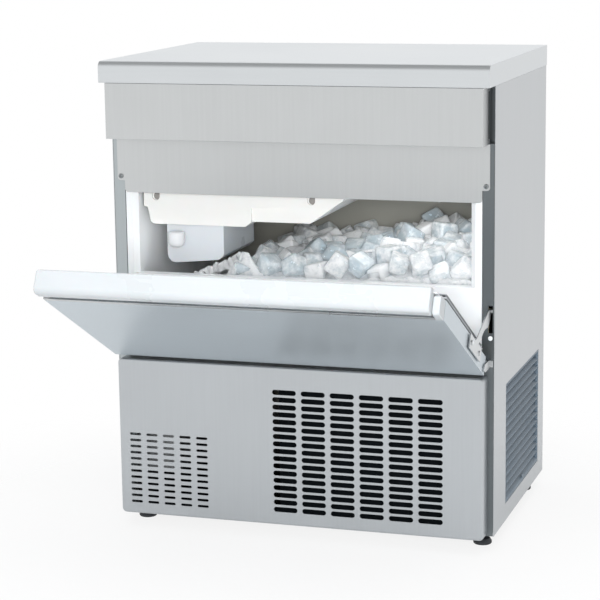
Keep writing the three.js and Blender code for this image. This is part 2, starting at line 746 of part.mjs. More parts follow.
const tank = {
  left: trayLeft + 32, right: trayLeft + 130, front: 40, back: trayBack - 116,
  base: trayFloor - 66, top: trayFloor - fit, wall: 2.5,
};

function tankProfile(inset) {
  const { left, right, base, top } = tank;
  return outline([
    [left + inset, top], ...arc(left + 14, base + 14, 14 - inset, 180, 270, 3),
    [right - 9, base + 7 + inset], [right - inset, base + 15], [right - inset, top],
  ]);
}

function addWaterTank() {
  const { front, back, wall, top } = tank;
  const shell = alongY(tankProfile(0), front, back);
  const hollow = alongY(tankProfile(wall), front + wall, back - wall);
  const opening = block(tank.left + wall, tank.right - wall, front + wall, back - wall, top - 1, top + 1);
  const neck = block(capPlace.x - 6, capPlace.x + 6, capPlace.y + 13.5 + fit, front + 1,
    capPlace.top - 16, capPlace.top - 4);
  const pumpShelf = block(pumpPlace.x - 20, pumpPlace.x + 20, back - 1,
    pumpPlace.y - pumpPlace.radius - fit + 4,
    pumpPlace.top - 22, pumpPlace.top - 16);
  const shelfRoom = rodZ(pumpPlace.radius + fit, pumpPlace.top - 30, top, pumpPlace.x, pumpPlace.y, 24);
  const tankShape = join(cut(shell, hollow, opening), neck, cut(pumpShelf, shelfRoom));
  addPart(tiltingTray, 'water_tank', fromPivot(tankShape), whitePlastic);
}

const capPlace = { x: tank.left + 22, y: 25, top: trayFloor - 12 };
const pumpPlace = { x: tank.left + 60, y: tank.back + 32, radius: 26, top: trayFloor - fit };

function addTankCap() {
  const cap = turned([[0, -25], [8, -25], [12.5, -21], [13.5, -16], [13.5, -3], [12.5, 0], [0, 0]], 20)
    .translate(capPlace.x, capPlace.y, capPlace.top);
  addPart(tiltingTray, 'tank_drain_cap', fromPivot(cap), whitePlastic);
}

// the pump hangs from the tray: a can, with an open chamber below for its impeller
function addPump() {
  const { x, y, radius, top } = pumpPlace;
  const chamberTop = top - 37;
  const housing = cut(rodZ(radius, top - 59, top, x, y, 24), rodZ(radius - 4, top - 60, chamberTop, x, y,
    24));
  const shaft = rodZ(2.5, chamberTop - 16, chamberTop + 1, x, y, 10);
  addPart(tiltingTray, 'circulation_pump', fromPivot(join(housing, shaft)), greyPlastic);
  const impeller = new THREE.Group();
  impeller.position.set(x - trayPivot.x, y, chamberTop - 9.7 - trayPivot.z);
  tiltingTray.add(impeller);
  const vanes = Array.from({ length: 4 }, (_, i) => block(3, radius - 6, -0.8, 0.8, -5,
    4).rotateZ(i * Math.PI / 2));
  const disc = rodZ(radius - 6, 4, 6, 0, 0, 20);
  const wheel = cut(join(rodZ(6, -5, 6, 0, 0, 12), disc, ...vanes), rodZ(2.5 + fit, -9, 9, 0, 0, 10));
  addPart(impeller, 'pump_impeller', wheel, whitePlastic);
}

// the arm's roller holds up the tray's lug; as it swings down the tray follows
const armTip = new THREE.Vector2(armLength, 0).rotateAround(new THREE.Vector2(),
  THREE.MathUtils.degToRad(armAngle));
const armRestTop = armPivot.z + armTip.y + armRollerRadius + fit;

function addActuator() {
  const shaftFront = armPlane - 3;
  const motor = join(
    block(armPivot.x - 18, armPivot.x + 36 - strapThick - fit, armPlane + 8, armPlane + 46,
      armPivot.z - 8, armPivot.z + 30),
    rodY(4, shaftFront - 4, armPlane + 9, armPivot.x, armPivot.z, 12));
  addPart(cabinet, 'actuator_motor', motor, darkPlastic);
  const arm = new THREE.Group();
  arm.position.set(armPivot.x, armPlane, armPivot.z);
  arm.rotation.y = -THREE.MathUtils.degToRad(armAngle);
  cabinet.add(arm);
  const bar = alongY(outline([
    ...arc(0, 0, 10, 90, 270, 6), ...arc(armLength, 0, armRollerRadius - 1, 270, 450, 6),
  ]), 3, 7);
  const roller = rodY(armRollerRadius, -10, 7, armLength, 0, 16);
  const bore = rodY(4 + fit, -20, 20, 0, 0, 12);
  addPart(arm, 'actuator_arm', cut(join(bar, roller), bore), zinc);
}

function addBinFittings() {
  const back = binBack - fit;
  const high = binCeiling - 50;
  const fill = tube([[-80, back, high], [-80, back - 40, high], [-80, back - 110, high - 4],
    [-80, back - 150, high - 18], [-80, back - 158, high - 40]], 5, 14);
  addPart(cabinet, 'fill_pipe', fill, whitePlastic);
  const probe = join(
    block(180, 210, back - 4, back, armPivot.z - 12, armPivot.z + 22),
    rodY(5, back - 60, back - 3, 195, armPivot.z - 3, 12));
  addPart(cabinet, 'bin_thermostat', probe, zinc);
}

// height of the heap over the bin floor's plan: lowest at the left under the tank, a
// ridge in front of the tank, a steep rise beside it, and the highest part at the right
function iceHeight(x, y) {
  const smooth = THREE.MathUtils.smoothstep;
  const ridge = 28 * smooth(x, -255, -170) * (1 - smooth(x, -112, -70)) * (1 - smooth(y, 26, 46));
  const underTank = sillHeight - 80 + 58 * smooth(x, -268, -205) + ridge;
  const beside = 54 * smooth(x, -150, -92);
  const back = 6 * smooth(y, 40, 300);
  const right = (8 + 14 * smooth(y, 30, 330)) * smooth(x, 70, 150);
  return underTank + beside + back + right;
}

function addIce() {
  const half = binHalf - 2;
  const front = binFront + 2;
  const back = binBack - 2;
  const columns = 14;
  const rows = 9;
  const sheetTop = new THREE.BoxGeometry(2 * half, back - front, 1, columns, rows, 1)
    .translate(0, (front + back) / 2, 0);
  const position = sheetTop.attributes.position;
  for (let i = 0; i < position.count; i += 1) {
    const top = position.getZ(i) > 0;
    const z = top ? iceHeight(position.getX(i), position.getY(i)) : binFloor + fit;
    position.setZ(i, z);
  }
  addPart(cabinet, 'ice_heap', toSolid(sheetTop), ice);
}

const door = new THREE.Group();
door.position.set(0, -pinReach, pinHeight);
door.rotation.x = THREE.MathUtils.degToRad(openAngle);
cabinet.add(door);

// places in the door count from the hinge pin, with the door shut
const doorFace = pinReach - frontReach;
const doorBack = doorFace + doorReturn;
const doorTop = doorTall - doorBelowPin;
const skinTop = doorTop - handleHeight;

function addDoorSkin() {
  const pan = backOpenPan(doorHalf, doorFace, doorBack, -doorBelowPin, skinTop);
  const holes = rodX(pinRadius + pinClearance, -doorHalf - 5, doorHalf + 5, 0, 0);
  addPart(door, 'door_skin', cut(pan, holes), brushedSteel);
}

function addDoorFoam() {
  const coreHalf = doorHalf - sheet - 6 * fit;
  const pinRoom = toGeometry(toSolid(rodX(pinRadius + 2, coreHalf - 4, coreHalf + 4, 0, 0)));
  const core = across(coreHalf, doorFace + sheet + fit, doorBack, sheet + fit - doorBelowPin,
    skinTop - sheet - fit);
  addPart(door, 'door_foam', cut(core, pinRoom, mirrored(pinRoom, -1)), foam);
}

// flat pan with a raised middle that reaches into the bin's mouth
function addDoorLiner() {
  const back = doorBack + fit + 2;
  const inner = doorHalf - gasketInset - gasketWidth - 2;
  const base = gasketBase + gasketWidth + 2;
  const top = gasketTop - gasketWidth - 2;
  const pan = across(doorHalf - 6, doorBack + fit, back, 0, doorTop - 18);
  const raised = across(inner, back - 0.5, back + innerPanelRise, base, top);
  const dish = across(inner - 14, back + innerPanelRise - 3, back + innerPanelRise + 1, base + 14,
    top - 14);
  addPart(door, 'door_liner', cut(join(pan, raised), dish), whitePlastic);
}

const gasketBase = 5;
const gasketTop = doorTop - 66;

function addDoorGasket() {
  const front = doorBack + 2 * fit + 2;
  const outer = doorHalf - gasketInset;
  const ring = cut(
    across(outer, front, front + gasketDepth, gasketBase, gasketTop),
    across(outer - gasketWidth, front - 1, front + gasketDepth + 1, gasketBase + gasketWidth,
      gasketTop - gasketWidth));
  addPart(door, 'door_gasket', ring, rubber);
}

const handleStep = doorTop - 18 + fit;   // above this the handle reaches back over the door's liner

// a grip along the whole top edge: rounded lip in front, finger groove below it
function addDoorHandle() {
  const half = doorHalf - handleCapWidth - fit;
  const front = doorFace - handleProud;
  const back = front + handleDepth;
  const lipBase = doorTop - lipHeight;
  const grooveBase = skinTop + trimHeight + fit;
  const section = outline([
    [doorBack, skinTop + fit], [doorBack, handleStep], [back, handleStep], [back, doorTop - 3], [back - 3,
    doorTop],
    ...arc(front + handleRound, doorTop - handleRound, handleRound, 90, 180, 5),
    ...arc(front + 3, lipBase + 3, 3, 180, 270, 3),
    [front + grooveDepth, lipBase + 2], [front + grooveDepth, grooveBase],
    [front + grooveDepth, skinTop + fit],
  ].reverse());
  addPart(door, 'door_handle', alongX(section, -doorHalf, half), whitePlastic);
  const trim = block(-doorHalf, half, doorFace, front + grooveDepth - fit, skinTop + fit,
    skinTop + trimHeight);
  addPart(door, 'door_trim', trim, zinc);
}

// the handle runs out to the left edge; at the right a lower cap closes the door's corner
function addHandleCap() {
  const front = doorFace - handleProud / 2;
  const back = doorFace + handleCapDepth;
  const top = doorTop - handleCapDrop;
  const section = outline([
    [front, skinTop + fit], [back, skinTop + fit], [back, top - 6], [back - 4, top],
    [front + 6, top], [front + 2, top - 2], [front, top - 6],
  ]);
  addPart(door, 'handle_cap_right', alongX(section, doorHalf - handleCapWidth, doorHalf), whitePlastic);
}

// foot riveted to the door's side, arm bent back through the stile's slot, and a
// cross pin that stops behind the slot when the door is fully open
function addDoorStays() {
  const near = staySide;
  const far = staySide + stayPlate;
  const foot = outline(rectangle(-3, 44, 19, 126));
  const arm = outline([
    [10, 84], ...arc(0, 0, stayInnerRadius, 64, 14, 8), [86, 2], [88, -4], [97, 1], [82.1, 26.7], [30.8,
    74.1], [19, 88],
  ]);
  const stopPin = rodX(stayPinRadius, near - 5, far + 3, stopPlace.y, stopPlace.z, 12);
  const rivets = [56, 114].map((z) => rodX(4, doorHalf + fit, far + 1.5, 8, z, 12));
  const stay = join(alongX(foot, near, far), alongX(arm, near, far), stopPin, ...rivets);
  for (const [name, side] of sides) {
    addPart(door, `door_stay_${name}`, mirrored(toGeometry(stay), side), zinc);
  }
}

const stopPlace = { y: 91.5, z: 0.5 };

const earRadius = 6.5;

function addHingeBrackets() {
  const near = doorHalf + 0.6;
  const far = near + 2.5;
  const ear = alongX(outline([
    ...arc(-pinReach, pinHeight, earRadius, 90, 270, 8), [-fit, pinHeight - earRadius], [-fit,
    pinHeight + 4],
    [-6, pinHeight + earRadius],
  ]), near, far);
  const foot = block(stileInner + 3, panelInner - 1, -2, -fit, pinHeight - earRadius, pinHeight + 4);
  const pin = rodX(pinRadius, doorHalf - 2.6, far, -pinReach, pinHeight);
  const bracket = join(ear, foot, pin);
  for (const [name, side] of sides) {
    addPart(cabinet, `hinge_bracket_${name}`, mirrored(toGeometry(bracket), side), zinc);
  }
}

addWorktop();
addSidePanels();
addLouvre();
addRearPanel();
addUpperFrontPanel();
addHoodPanel();
addHoodScrews();
addStiles();
addFrontRail();
addLowerFrontPanel();
addBasePan();
addFeet();
addServices();
addCompressor();
addCondenser();
addFilter();
addFan();
addPipes();
addControlBox();
addBinLiner();
addInsulation();
addUnitFrame();
addEvaporator();
addEvaporatorCoil();
addWaterTray();
addWaterTank();
addTankCap();
addPump();
addActuator();
addBinFittings();
addIce();
addHingeBrackets();
addDoorSkin();
addDoorFoam();
addDoorLiner();
addDoorGasket();
addDoorHandle();
addHandleCap();
addDoorStays();

// origin on the floor, under the middle of the whole machine with its door open
const iceMaker = new THREE.Group();
iceMaker.add(cabinet);
iceMaker.updateMatrixWorld(true);
const extent = new THREE.Box3().setFromObject(iceMaker, true);
const middle = extent.getCenter(new THREE.Vector3());
iceMaker.position.set(-middle.x, -middle.y, -extent.min.z);

export default iceMaker;
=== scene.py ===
import json
import math

import bmesh
import bpy
import numpy as np
from mathutils import Euler, Matrix, Vector, geometry


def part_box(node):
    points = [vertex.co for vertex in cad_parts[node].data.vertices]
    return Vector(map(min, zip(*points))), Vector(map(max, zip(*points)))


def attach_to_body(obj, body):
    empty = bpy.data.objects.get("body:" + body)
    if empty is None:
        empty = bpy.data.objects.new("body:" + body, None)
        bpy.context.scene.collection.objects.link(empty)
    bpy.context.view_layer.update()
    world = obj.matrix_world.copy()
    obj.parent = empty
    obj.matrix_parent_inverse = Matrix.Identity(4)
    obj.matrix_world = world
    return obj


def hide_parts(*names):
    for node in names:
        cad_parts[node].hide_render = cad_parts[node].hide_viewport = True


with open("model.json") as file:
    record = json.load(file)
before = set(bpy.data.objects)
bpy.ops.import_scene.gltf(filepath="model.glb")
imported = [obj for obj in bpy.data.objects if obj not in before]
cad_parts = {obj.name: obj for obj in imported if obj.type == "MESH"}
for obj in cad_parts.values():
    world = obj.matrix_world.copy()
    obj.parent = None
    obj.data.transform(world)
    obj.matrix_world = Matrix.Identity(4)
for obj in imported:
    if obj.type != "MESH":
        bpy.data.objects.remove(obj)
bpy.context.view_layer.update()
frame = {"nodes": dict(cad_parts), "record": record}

nodes = frame["nodes"]
record = frame["record"]
bodyOf = {node: body for body, names in record["behaviour"]["bodies"].items() for node in names}
slotOf = {s["node"]: s["material_slot"] for s in record["subparts"]}
even = (1, 1, 1)  # stretch of a pattern that runs no particular way
white = (1, 1, 1, 1)
print("frame loaded:", len(nodes), "nodes")

materials = {}


# an empty material under its name, with its node tree and shader
def newMaterial(name):
    mat = materials[name] = bpy.data.materials.new(name)
    mat.use_nodes = True
    tree = mat.node_tree
    tree.nodes.clear()
    out = tree.nodes.new("ShaderNodeOutputMaterial")
    shader = tree.nodes.new("ShaderNodeBsdfPrincipled")
    tree.links.new(shader.outputs["BSDF"], out.inputs["Surface"])
    return tree, shader


# a node whose settings are its own properties or the values of its sockets
def addNode(tree, kind, **settings):
    node = tree.nodes.new(kind)
    for key, value in settings.items():
        if hasattr(node, key):
            setattr(node, key, value)
        else:
            node.inputs[key].default_value = value
    return node


# noise in object coordinates, stretched so that it runs out into streaks
def stretchedNoise(tree, stretch, scale, detail, rough=0.6, turn=(0, 0, 0)):
    coords = addNode(tree, "ShaderNodeTexCoord")
    mapping = addNode(tree, "ShaderNodeMapping", Scale=stretch, Rotation=turn)
    noise = addNode(tree, "ShaderNodeTexNoise", Scale=scale, Detail=detail, Roughness=rough)
    tree.links.new(coords.outputs["Object"], mapping.inputs["Vector"])
    tree.links.new(mapping.outputs["Vector"], noise.inputs["Vector"])
    return noise.outputs["Fac"]


def rampBetween(tree, source, low, high, start=0.3, end=0.7):
    ramp = addNode(tree, "ShaderNodeValToRGB")
    for element, place, color in zip(ramp.color_ramp.elements, (start, end), (low, high)):
        element.position = place
        element.color = color
    tree.links.new(source, ramp.inputs["Fac"])
    return ramp.outputs["Color"]


def rangeOf(tree, source, low, high, start=0.25, end=0.75):
    span = addNode(tree, "ShaderNodeMapRange")
    for socket, value in zip(("From Min", "From Max", "To Min", "To Max"), (start, end, low, high)):
        span.inputs[socket].default_value = value
    tree.links.new(source, span.inputs["Value"])
    return span.outputs["Result"]


def mathOf(tree, operation, first, second):
    step = addNode(tree, "ShaderNodeMath", operation=operation)
    for socket, value in zip(step.inputs, (first, second)):
        if isinstance(value, (int, float)):
            socket.default_value = value
        else:
            tree.links.new(value, socket)
    return step.outputs["Value"]


def multiplied(tree, first, second):
    mix = addNode(tree, "ShaderNodeMix", data_type="RGBA", blend_type="MULTIPLY")
    mix.inputs[0].default_value = 1
    tree.links.new(first, mix.inputs[6])
    tree.links.new(second, mix.inputs[7])
    return mix.outputs[2]


def mixedShader(tree, factor, first, second):
    mix = addNode(tree, "ShaderNodeMixShader")
    for source, socket in zip((factor, first, second), mix.inputs):
        tree.links.new(source, socket)
    return mix.outputs["Shader"]


def addBump(tree, shader, height, strength, distance):
    bump = addNode(tree, "ShaderNodeBump", Strength=strength, Distance=distance)
    tree.links.new(height, bump.inputs["Height"])
    tree.links.new(bump.outputs["Normal"], shader.inputs["Normal"])


def setSockets(shader, **values):
    for key, value in values.items():
        shader.inputs[key.replace("_", " ")].default_value = value


# a colour times a factor
def shade(color, factor):
    return (color[0] * factor, color[1] * factor, color[2] * factor, 1)


# in the finishes below, a noise is (scale, detail, roughness, turn) and a span is (from, to)
sheetLook = {"fine": (260, 4), "broad": (2.6, 3), "tint": (0.35, 0.65),
             "scratch": (150, 2, 0.5, (0.5, 0.35, 0.2)), "scratchStretch": (0.15, 1.6, 1.6),
             "scratchDull": 0.008, "scratchSpan": (0.66, 0.80), "glossier": 0.03, "duller": 0.07, "bump": 0.5}


# sheet steel: fine streaks along the grain, thin scratches across it, faint smears
def brushedMetal(name, color, rough=0.3, grain=(1, 1, 0.02), metallic=0.9, streak=0.012, smear=0.075,
                 depth=0.00001, look=sheetLook):
    tree, shader = newMaterial(name)
    fine = stretchedNoise(tree, grain, *look["fine"])
    broad = stretchedNoise(tree, even, *look["broad"])
    scratch = stretchedNoise(tree, look["scratchStretch"], *look["scratch"])
    tint = rampBetween(tree, fine, shade(color, 1 - streak), shade(color, 1 + streak), *look["tint"])
    cloud = rampBetween(tree, broad, shade(white, 1 - smear), white)
    tree.links.new(multiplied(tree, tint, cloud), shader.inputs["Base Color"])
    setSockets(shader, Metallic=metallic)
    scratched = rangeOf(tree, scratch, 0, look["scratchDull"], *look["scratchSpan"])
    smeared = rangeOf(tree, broad, rough - look["glossier"], rough + look["duller"])
    tree.links.new(mathOf(tree, "ADD", smeared, scratched), shader.inputs["Roughness"])
    addBump(tree, shader, fine, look["bump"], depth)


mouldedLook = {"skinDetail": 3, "broad": (9, 4), "wear": 0.05, "scuff": (70, 3, 0.5, (0.3, 0.6, 0.9)),
               "scuffStretch": (0.3, 2.2, 2.2), "scuffDull": 0.14, "scuffSpan": (0.64, 0.72),
               "softDeep": 0.004, "glossier": 0.05, "duller": 0.08, "bump": 0.3}


# plastic and paint: even colour, a fine skin texture, roughness and tint that wander with wear
def plainSurface(name, color, rough, metallic=0.0, skin=260, depth=0.00005, coat=0.0, soft=0.0, shine=0.5,
                 look=mouldedLook):
    tree, shader = newMaterial(name)
    fine = stretchedNoise(tree, even, skin, look["skinDetail"])
    broad = stretchedNoise(tree, even, *look["broad"])
    scuff = stretchedNoise(tree, look["scuffStretch"], *look["scuff"])
    tint = rampBetween(tree, broad, shade(color, 1 - look["wear"]), shade(color, 1))
    tree.links.new(tint, shader.inputs["Base Color"])
    setSockets(shader, Metallic=metallic, Specular_IOR_Level=shine, Coat_Weight=coat, Subsurface_Weight=soft,
               Subsurface_Scale=look["softDeep"])
    scuffed = rangeOf(tree, scuff, 0, look["scuffDull"], *look["scuffSpan"])
    worn = rangeOf(tree, broad, rough - look["glossier"], rough + look["duller"])
    tree.links.new(mathOf(tree, "ADD", worn, scuffed), shader.inputs["Roughness"])
    addBump(tree, shader, fine, look["bump"], depth)


zincLook = {"patches": 85.0, "dark": 0.88, "light": 1.06, "broad": (6, 4), "smear": 0.9, "metallic": 0.9,
            "glossier": 0.06, "duller": 0.08, "bump": 0.2, "depth": 0.0004}


# zinc coating: flat crystal patches that differ a little in tone and gloss
def spangledZinc(name, color, rough, look=zincLook):
    tree, shader = newMaterial(name)
    coords = addNode(tree, "ShaderNodeTexCoord")
    patches = addNode(tree, "ShaderNodeTexVoronoi", Scale=look["patches"])
    tree.links.new(coords.outputs["Object"], patches.inputs["Vector"])
    broad = stretchedNoise(tree, even, *look["broad"])
    tone = addNode(tree, "ShaderNodeSeparateColor")
    tree.links.new(patches.outputs["Color"], tone.inputs["Color"])
    dark, light = shade(color, look["dark"]), shade(color, look["light"])
    patch = rampBetween(tree, tone.outputs[0], dark, light, 0, 1)
    cloud = rampBetween(tree, broad, shade(white, look["smear"]), white)
    tree.links.new(multiplied(tree, patch, cloud), shader.inputs["Base Color"])
    setSockets(shader, Metallic=look["metallic"])
    gloss = rangeOf(tree, tone.outputs[1], rough - look["glossier"], rough + look["duller"], 0, 1)
    tree.links.new(gloss, shader.inputs["Roughness"])
    addBump(tree, shader, broad, look["bump"], look["depth"])


iceLook = {"clear": (0.72, 0.84, 0.93, 1), "cloudy": (0.96, 0.985, 1.0, 1), "tint": (0.42, 0.72),
           "through": 0.42, "throughLeast": 0.04, "throughSpan": (0.45, 0.78), "rough": 0.20,
           "glossier": 0.06, "duller": 0.1, "soft": 0.75, "softDeep": 0.022, "bends": 1.31, "own": 0.5,
           "bubbly": 0.9, "bubbles": (70, 5, 0.65), "ripples": (110, 2), "bump": 0.35, "depth": 0.0004}


# ice: each cube has its own share of cloudiness (vertex value "cloud"), white cracks and bubbles inside,
# and a wet, slightly rippled skin
def iceMaterial(name, look):
    tree, shader = newMaterial(name)
    own = addNode(tree, "ShaderNodeAttribute", attribute_name="cloud").outputs["Fac"]
    bubbles = stretchedNoise(tree, even, *look["bubbles"])
    surface = stretchedNoise(tree, even, *look["ripples"])
    whiteness = mathOf(tree, "ADD", mathOf(tree, "MULTIPLY", own, look["own"]),
                       mathOf(tree, "MULTIPLY", bubbles, look["bubbly"]))
    tint = rampBetween(tree, whiteness, look["clear"], look["cloudy"], *look["tint"])
    through = rangeOf(tree, whiteness, look["through"], look["throughLeast"], *look["throughSpan"])
    gloss = rangeOf(tree, surface, look["rough"] - look["glossier"], look["rough"] + look["duller"])
    for source, socket in ((tint, "Base Color"), (through, "Transmission Weight"), (gloss, "Roughness")):
        tree.links.new(source, shader.inputs[socket])
    setSockets(shader, IOR=look["bends"], Subsurface_Weight=look["soft"], Subsurface_Radius=even,
               Subsurface_Scale=look["softDeep"])
    addBump(tree, shader, surface, look["bump"], look["depth"])


topSheet = {"grain": (0.02, 1, 1), "streak": 0.008, "depth": 0.000005}
brushedMetal("stainless", (0.60, 0.615, 0.618), 0.32)
# a lighter copy of the steel for the worktop, with its grain running the other way: the lighter colour is
# painted light
brushedMetal("stainless_top_painted_light", (0.67, 0.695, 0.71), 0.32, **topSheet)
# a still lighter copy for the worktop's upper faces: painted highlight
brushedMetal("stainless_painted_highlight", (0.85, 0.885, 0.91), 0.32, **topSheet)
# a darker copy of the steel for the side panels: painted shade
brushedMetal("stainless_side_painted_shade", (0.55, 0.57, 0.585), 0.34)
# a darker copy of the steel for the lower front panel: painted shade
brushedMetal("stainless_low_painted_shade", (0.52, 0.545, 0.565), 0.33)
# a lighter, bluer, less metallic copy of the steel for the door skin, set to what it reflects: painted
# reflection
brushedMetal("stainless_door_painted_reflection", (0.62, 0.68, 0.72), 0.36, metallic=0.72)
brushedMetal("stile_steel", (0.46, 0.50, 0.515), 0.34)
# a darker copy of the stile steel for the right stile: painted shade
brushedMetal("stile_painted_shade", (0.185, 0.205, 0.215), 0.36)
spangledZinc("galvanised", (0.56, 0.58, 0.59), 0.42)
plainSurface("white_plastic", (0.79, 0.805, 0.82), 0.3, coat=0.15, soft=0.05)
# a lighter copy of the white plastic for the bin liner, to brighten the bin: painted light
plainSurface("liner_white_painted_light", (0.90, 0.915, 0.925), 0.35, soft=0.05)
# a greyer copy of the white plastic for the handle and its cap, set against the lamp's light: painted shade
plainSurface("handle_white_painted_shade", (0.62, 0.65, 0.67), 0.28, coat=0.15, soft=0.05)
plainSurface("tank_white", (0.70, 0.73, 0.76), 0.3, soft=0.1)
brushedMetal("screw_steel", (0.33, 0.35, 0.36), 0.24)
plainSurface("cream_plastic", (0.86, 0.855, 0.83), 0.38, soft=0.05)
plainSurface("grey_plastic", (0.165, 0.215, 0.265), 0.48)
# dark warm grey for the sheet over the bin's back wall: painted shade
plainSurface("painted_shade_grey", (0.33, 0.325, 0.29), 0.6)
plainSurface("dark_plastic", (0.025, 0.028, 0.032), 0.55)
plainSurface("foam", (0.72, 0.62, 0.36), 0.9, skin=500, depth=0.0004)
plainSurface("seal", (0.20, 0.215, 0.23), 0.65, skin=400)
plainSurface("gasket_grey", (0.46, 0.48, 0.50), 0.45, skin=400)
plainSurface("plug_grey", (0.30, 0.285, 0.27), 0.5)
# near-black, almost unshiny finish for the air filter and base pan: painted shade behind the grille slots and
# at the base's edge
plainSurface("blackout_painted_shade", (0.006, 0.008, 0.010), 0.8, shine=0.08)
plainSurface("black_paint", (0.018, 0.019, 0.021), 0.42, coat=0.2)
plainSurface("condenser_fins", (0.03, 0.031, 0.034), 0.45, metallic=0.5)
brushedMetal("evaporator_plate", (0.68, 0.68, 0.66), 0.4, even)
brushedMetal("copper", (0.68, 0.33, 0.19), 0.32, even, 1.0, 0.05, 0.3)
brushedMetal("brass", (0.62, 0.46, 0.18), 0.35, even, 1.0, 0.05, 0.2)
brushedMetal("zinc", (0.62, 0.64, 0.65), 0.26, even, 1.0, 0.04, 0.1)
iceMaterial("ice", iceLook)
print("materials ready:", len(materials))


# carries out the given steps on a mesh
def reworked(mesh, *steps):
    bm = bmesh.new()
    bm.from_mesh(mesh)
    for step in steps:
        step(bm)
    bm.to_mesh(mesh)
    bm.free()


def welded(bm, gap=2e-6):
    bmesh.ops.remove_doubles(bm, verts=bm.verts, dist=gap)


def facedOut(bm):
    bmesh.ops.recalc_face_normals(bm, faces=bm.faces)


# a new object at the origin, linked into the scene
def placed(name, data):
    obj = bpy.data.objects.new(name, data)
    bpy.context.scene.collection.objects.link(obj)
    return obj


# numpy points and faces into a mesh; edges sharper than the crease angle stay sharp
def meshObject(name, points, faces, crease=35, outward=False):
    mesh = bpy.data.meshes.new(name)
    mesh.from_pydata(np.asarray(points, float).tolist(), [], [list(map(int, f)) for f in faces])
    mesh.update()
    if outward:
        reworked(mesh, welded, facedOut)
    mesh.shade_smooth()
    mesh.set_sharp_from_angle(angle=math.radians(crease))
    return placed(name, mesh)


# quads of a grid of points, closed round its columns if asked
def gridFaces(rows, columns, closed=False, start=0):
    r = np.arange(rows - 1)[:, None]
    c = np.arange(columns if closed else columns - 1)[None, :]
    nextC = (c + 1) % columns
    a = start + r * columns + c
    b = start + r * columns + nextC
    return np.stack([a, b, b + columns, a + columns], -1).reshape(-1, 4)


# faces of a closed slab: a grid, its copy on the far side turned over, and quads between their borders
def slabFaces(rows, columns):
    count = rows * columns
    grid = gridFaces(rows, columns)
    border = np.concatenate([np.arange(columns), np.arange(2 * columns - 1, count, columns),
                             np.arange(count - 2, (rows - 1) * columns - 1, -1),
                             np.arange((rows - 2) * columns, 0, -columns)])
    after = np.roll(border, -1)
    walls = np.stack([border, border + count, after + count, after], -1)
    return grid.tolist() + (grid[:, ::-1] + count).tolist() + walls.tolist()


# gives a piece its finish and the body that it rides on
def attach(obj, material, body):
    obj.data.materials.append(materials[material])
    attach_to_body(obj, body)


# dresses a piece as the CAD node that it stands for
def dress(obj, node, material=None):
    obj.data.materials.clear()
    attach(obj, material or slotOf[node], bodyOf[node])
    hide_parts(node)


# gives the faces that pass the test a second material
def paintFaces(name, material, inside):
    mesh = bpy.data.objects[name].data
    mesh.materials.append(materials[material])
    for face in mesh.polygons:
        if inside(face.center, face.normal):
            face.material_index = len(mesh.materials) - 1


# edges sharper than one angle are rounded, faces flatter than the other made one
edgeLook = {"segments": 3, "sharper": 32, "flatter": 0.6, "weld": 1e-6}
# edge radius of each formed or moulded piece, in metres
edgeWidths = {
    "worktop": 0.0025, "left_side_panel": 0.0004, "right_side_panel": 0.0004, "upper_front_panel": 0.0018,
    "hood_panel": 0.0005, "left_stile": 0.0004, "right_stile": 0.0004, "front_rail": 0.0004,
    "rear_panel": 0.0003, "base_pan": 0.0005, "door_skin": 0.0016, "door_liner": 0.0018,
    "door_handle": 0.0022, "door_trim": 0.0006, "handle_cap_right": 0.0016, "door_stay_left": 0.0004,
    "door_stay_right": 0.0004, "hinge_bracket_left": 0.0004, "hinge_bracket_right": 0.0004,
    "bin_liner": 0.0010, "water_tray": 0.0016, "water_tank": 0.0022, "tank_drain_cap": 0.0022,
    "compressor": 0.003, "control_box": 0.0006, "fan_motor": 0.001, "fan_shroud": 0.0006,
    "unit_frame": 0.0004, "evaporator": 0.0008, "actuator_motor": 0.0015, "actuator_arm": 0.0004,
    "water_valve": 0.0012, "bin_thermostat": 0.0005, "circulation_pump": 0.001, "side_louvre": 0.0004,
    "insulation": 0.0006, "door_foam": 0.0006,
}
ownMaterial = {
    "worktop": "stainless_top_painted_light", "base_pan": "blackout_painted_shade", "left_side_panel": "stainless_side_painted_shade",
    "right_side_panel": "stainless_side_painted_shade", "door_skin": "stainless_door_painted_reflection", "right_stile": "stile_painted_shade",
    "bin_liner": "liner_white_painted_light", "door_handle": "handle_white_painted_shade", "handle_cap_right": "handle_white_painted_shade",
    "water_tank": "tank_white",
}


# the CAD node's own shape with its flat faces made whole and its edges rounded
def rounded(node, width, look, material=None):
    def wholeFaces(bm):
        welded(bm, look["weld"])
        bmesh.ops.dissolve_limit(bm, angle_limit=math.radians(look["flatter"]), verts=bm.verts, edges=bm.edges)
        bmesh.ops.connect_verts_concave(bm, faces=bm.faces)

    mesh = nodes[node].data.copy()
    mesh.name = node + "_rounded"
    reworked(mesh, wholeFaces)
    mesh.shade_smooth()
    obj = placed(node + "_rounded", mesh)
    bevel = obj.modifiers.new("edges", "BEVEL")
    bevel.limit_method = "ANGLE"
    bevel.angle_limit = math.radians(look["sharper"])
    bevel.width = width
    bevel.segments = look["segments"]
    bevel.use_clamp_overlap = True
    obj.modifiers.new("normals", "WEIGHTED_NORMAL").keep_sharp = True
    dress(obj, node, material)


for node, width in edgeWidths.items():
    rounded(node, width, edgeLook, ownMaterial.get(node))
print("edges rounded:", len(edgeWidths))


pocketShadeLook = {"near": 0.3005, "far": 0.3125, "front": -0.0185, "reach": 0.0275, "low": 0.293, "high": 0.400}


# true in the pockets behind the stile slots, whose faces take dark plastic: painted shade in the recess
def inShadedPocket(place, normal, look=pocketShadeLook):
    return (look["near"] < abs(place.x) < look["far"] and look["front"] < place.y < look["reach"]
            and look["low"] < place.z < look["high"])


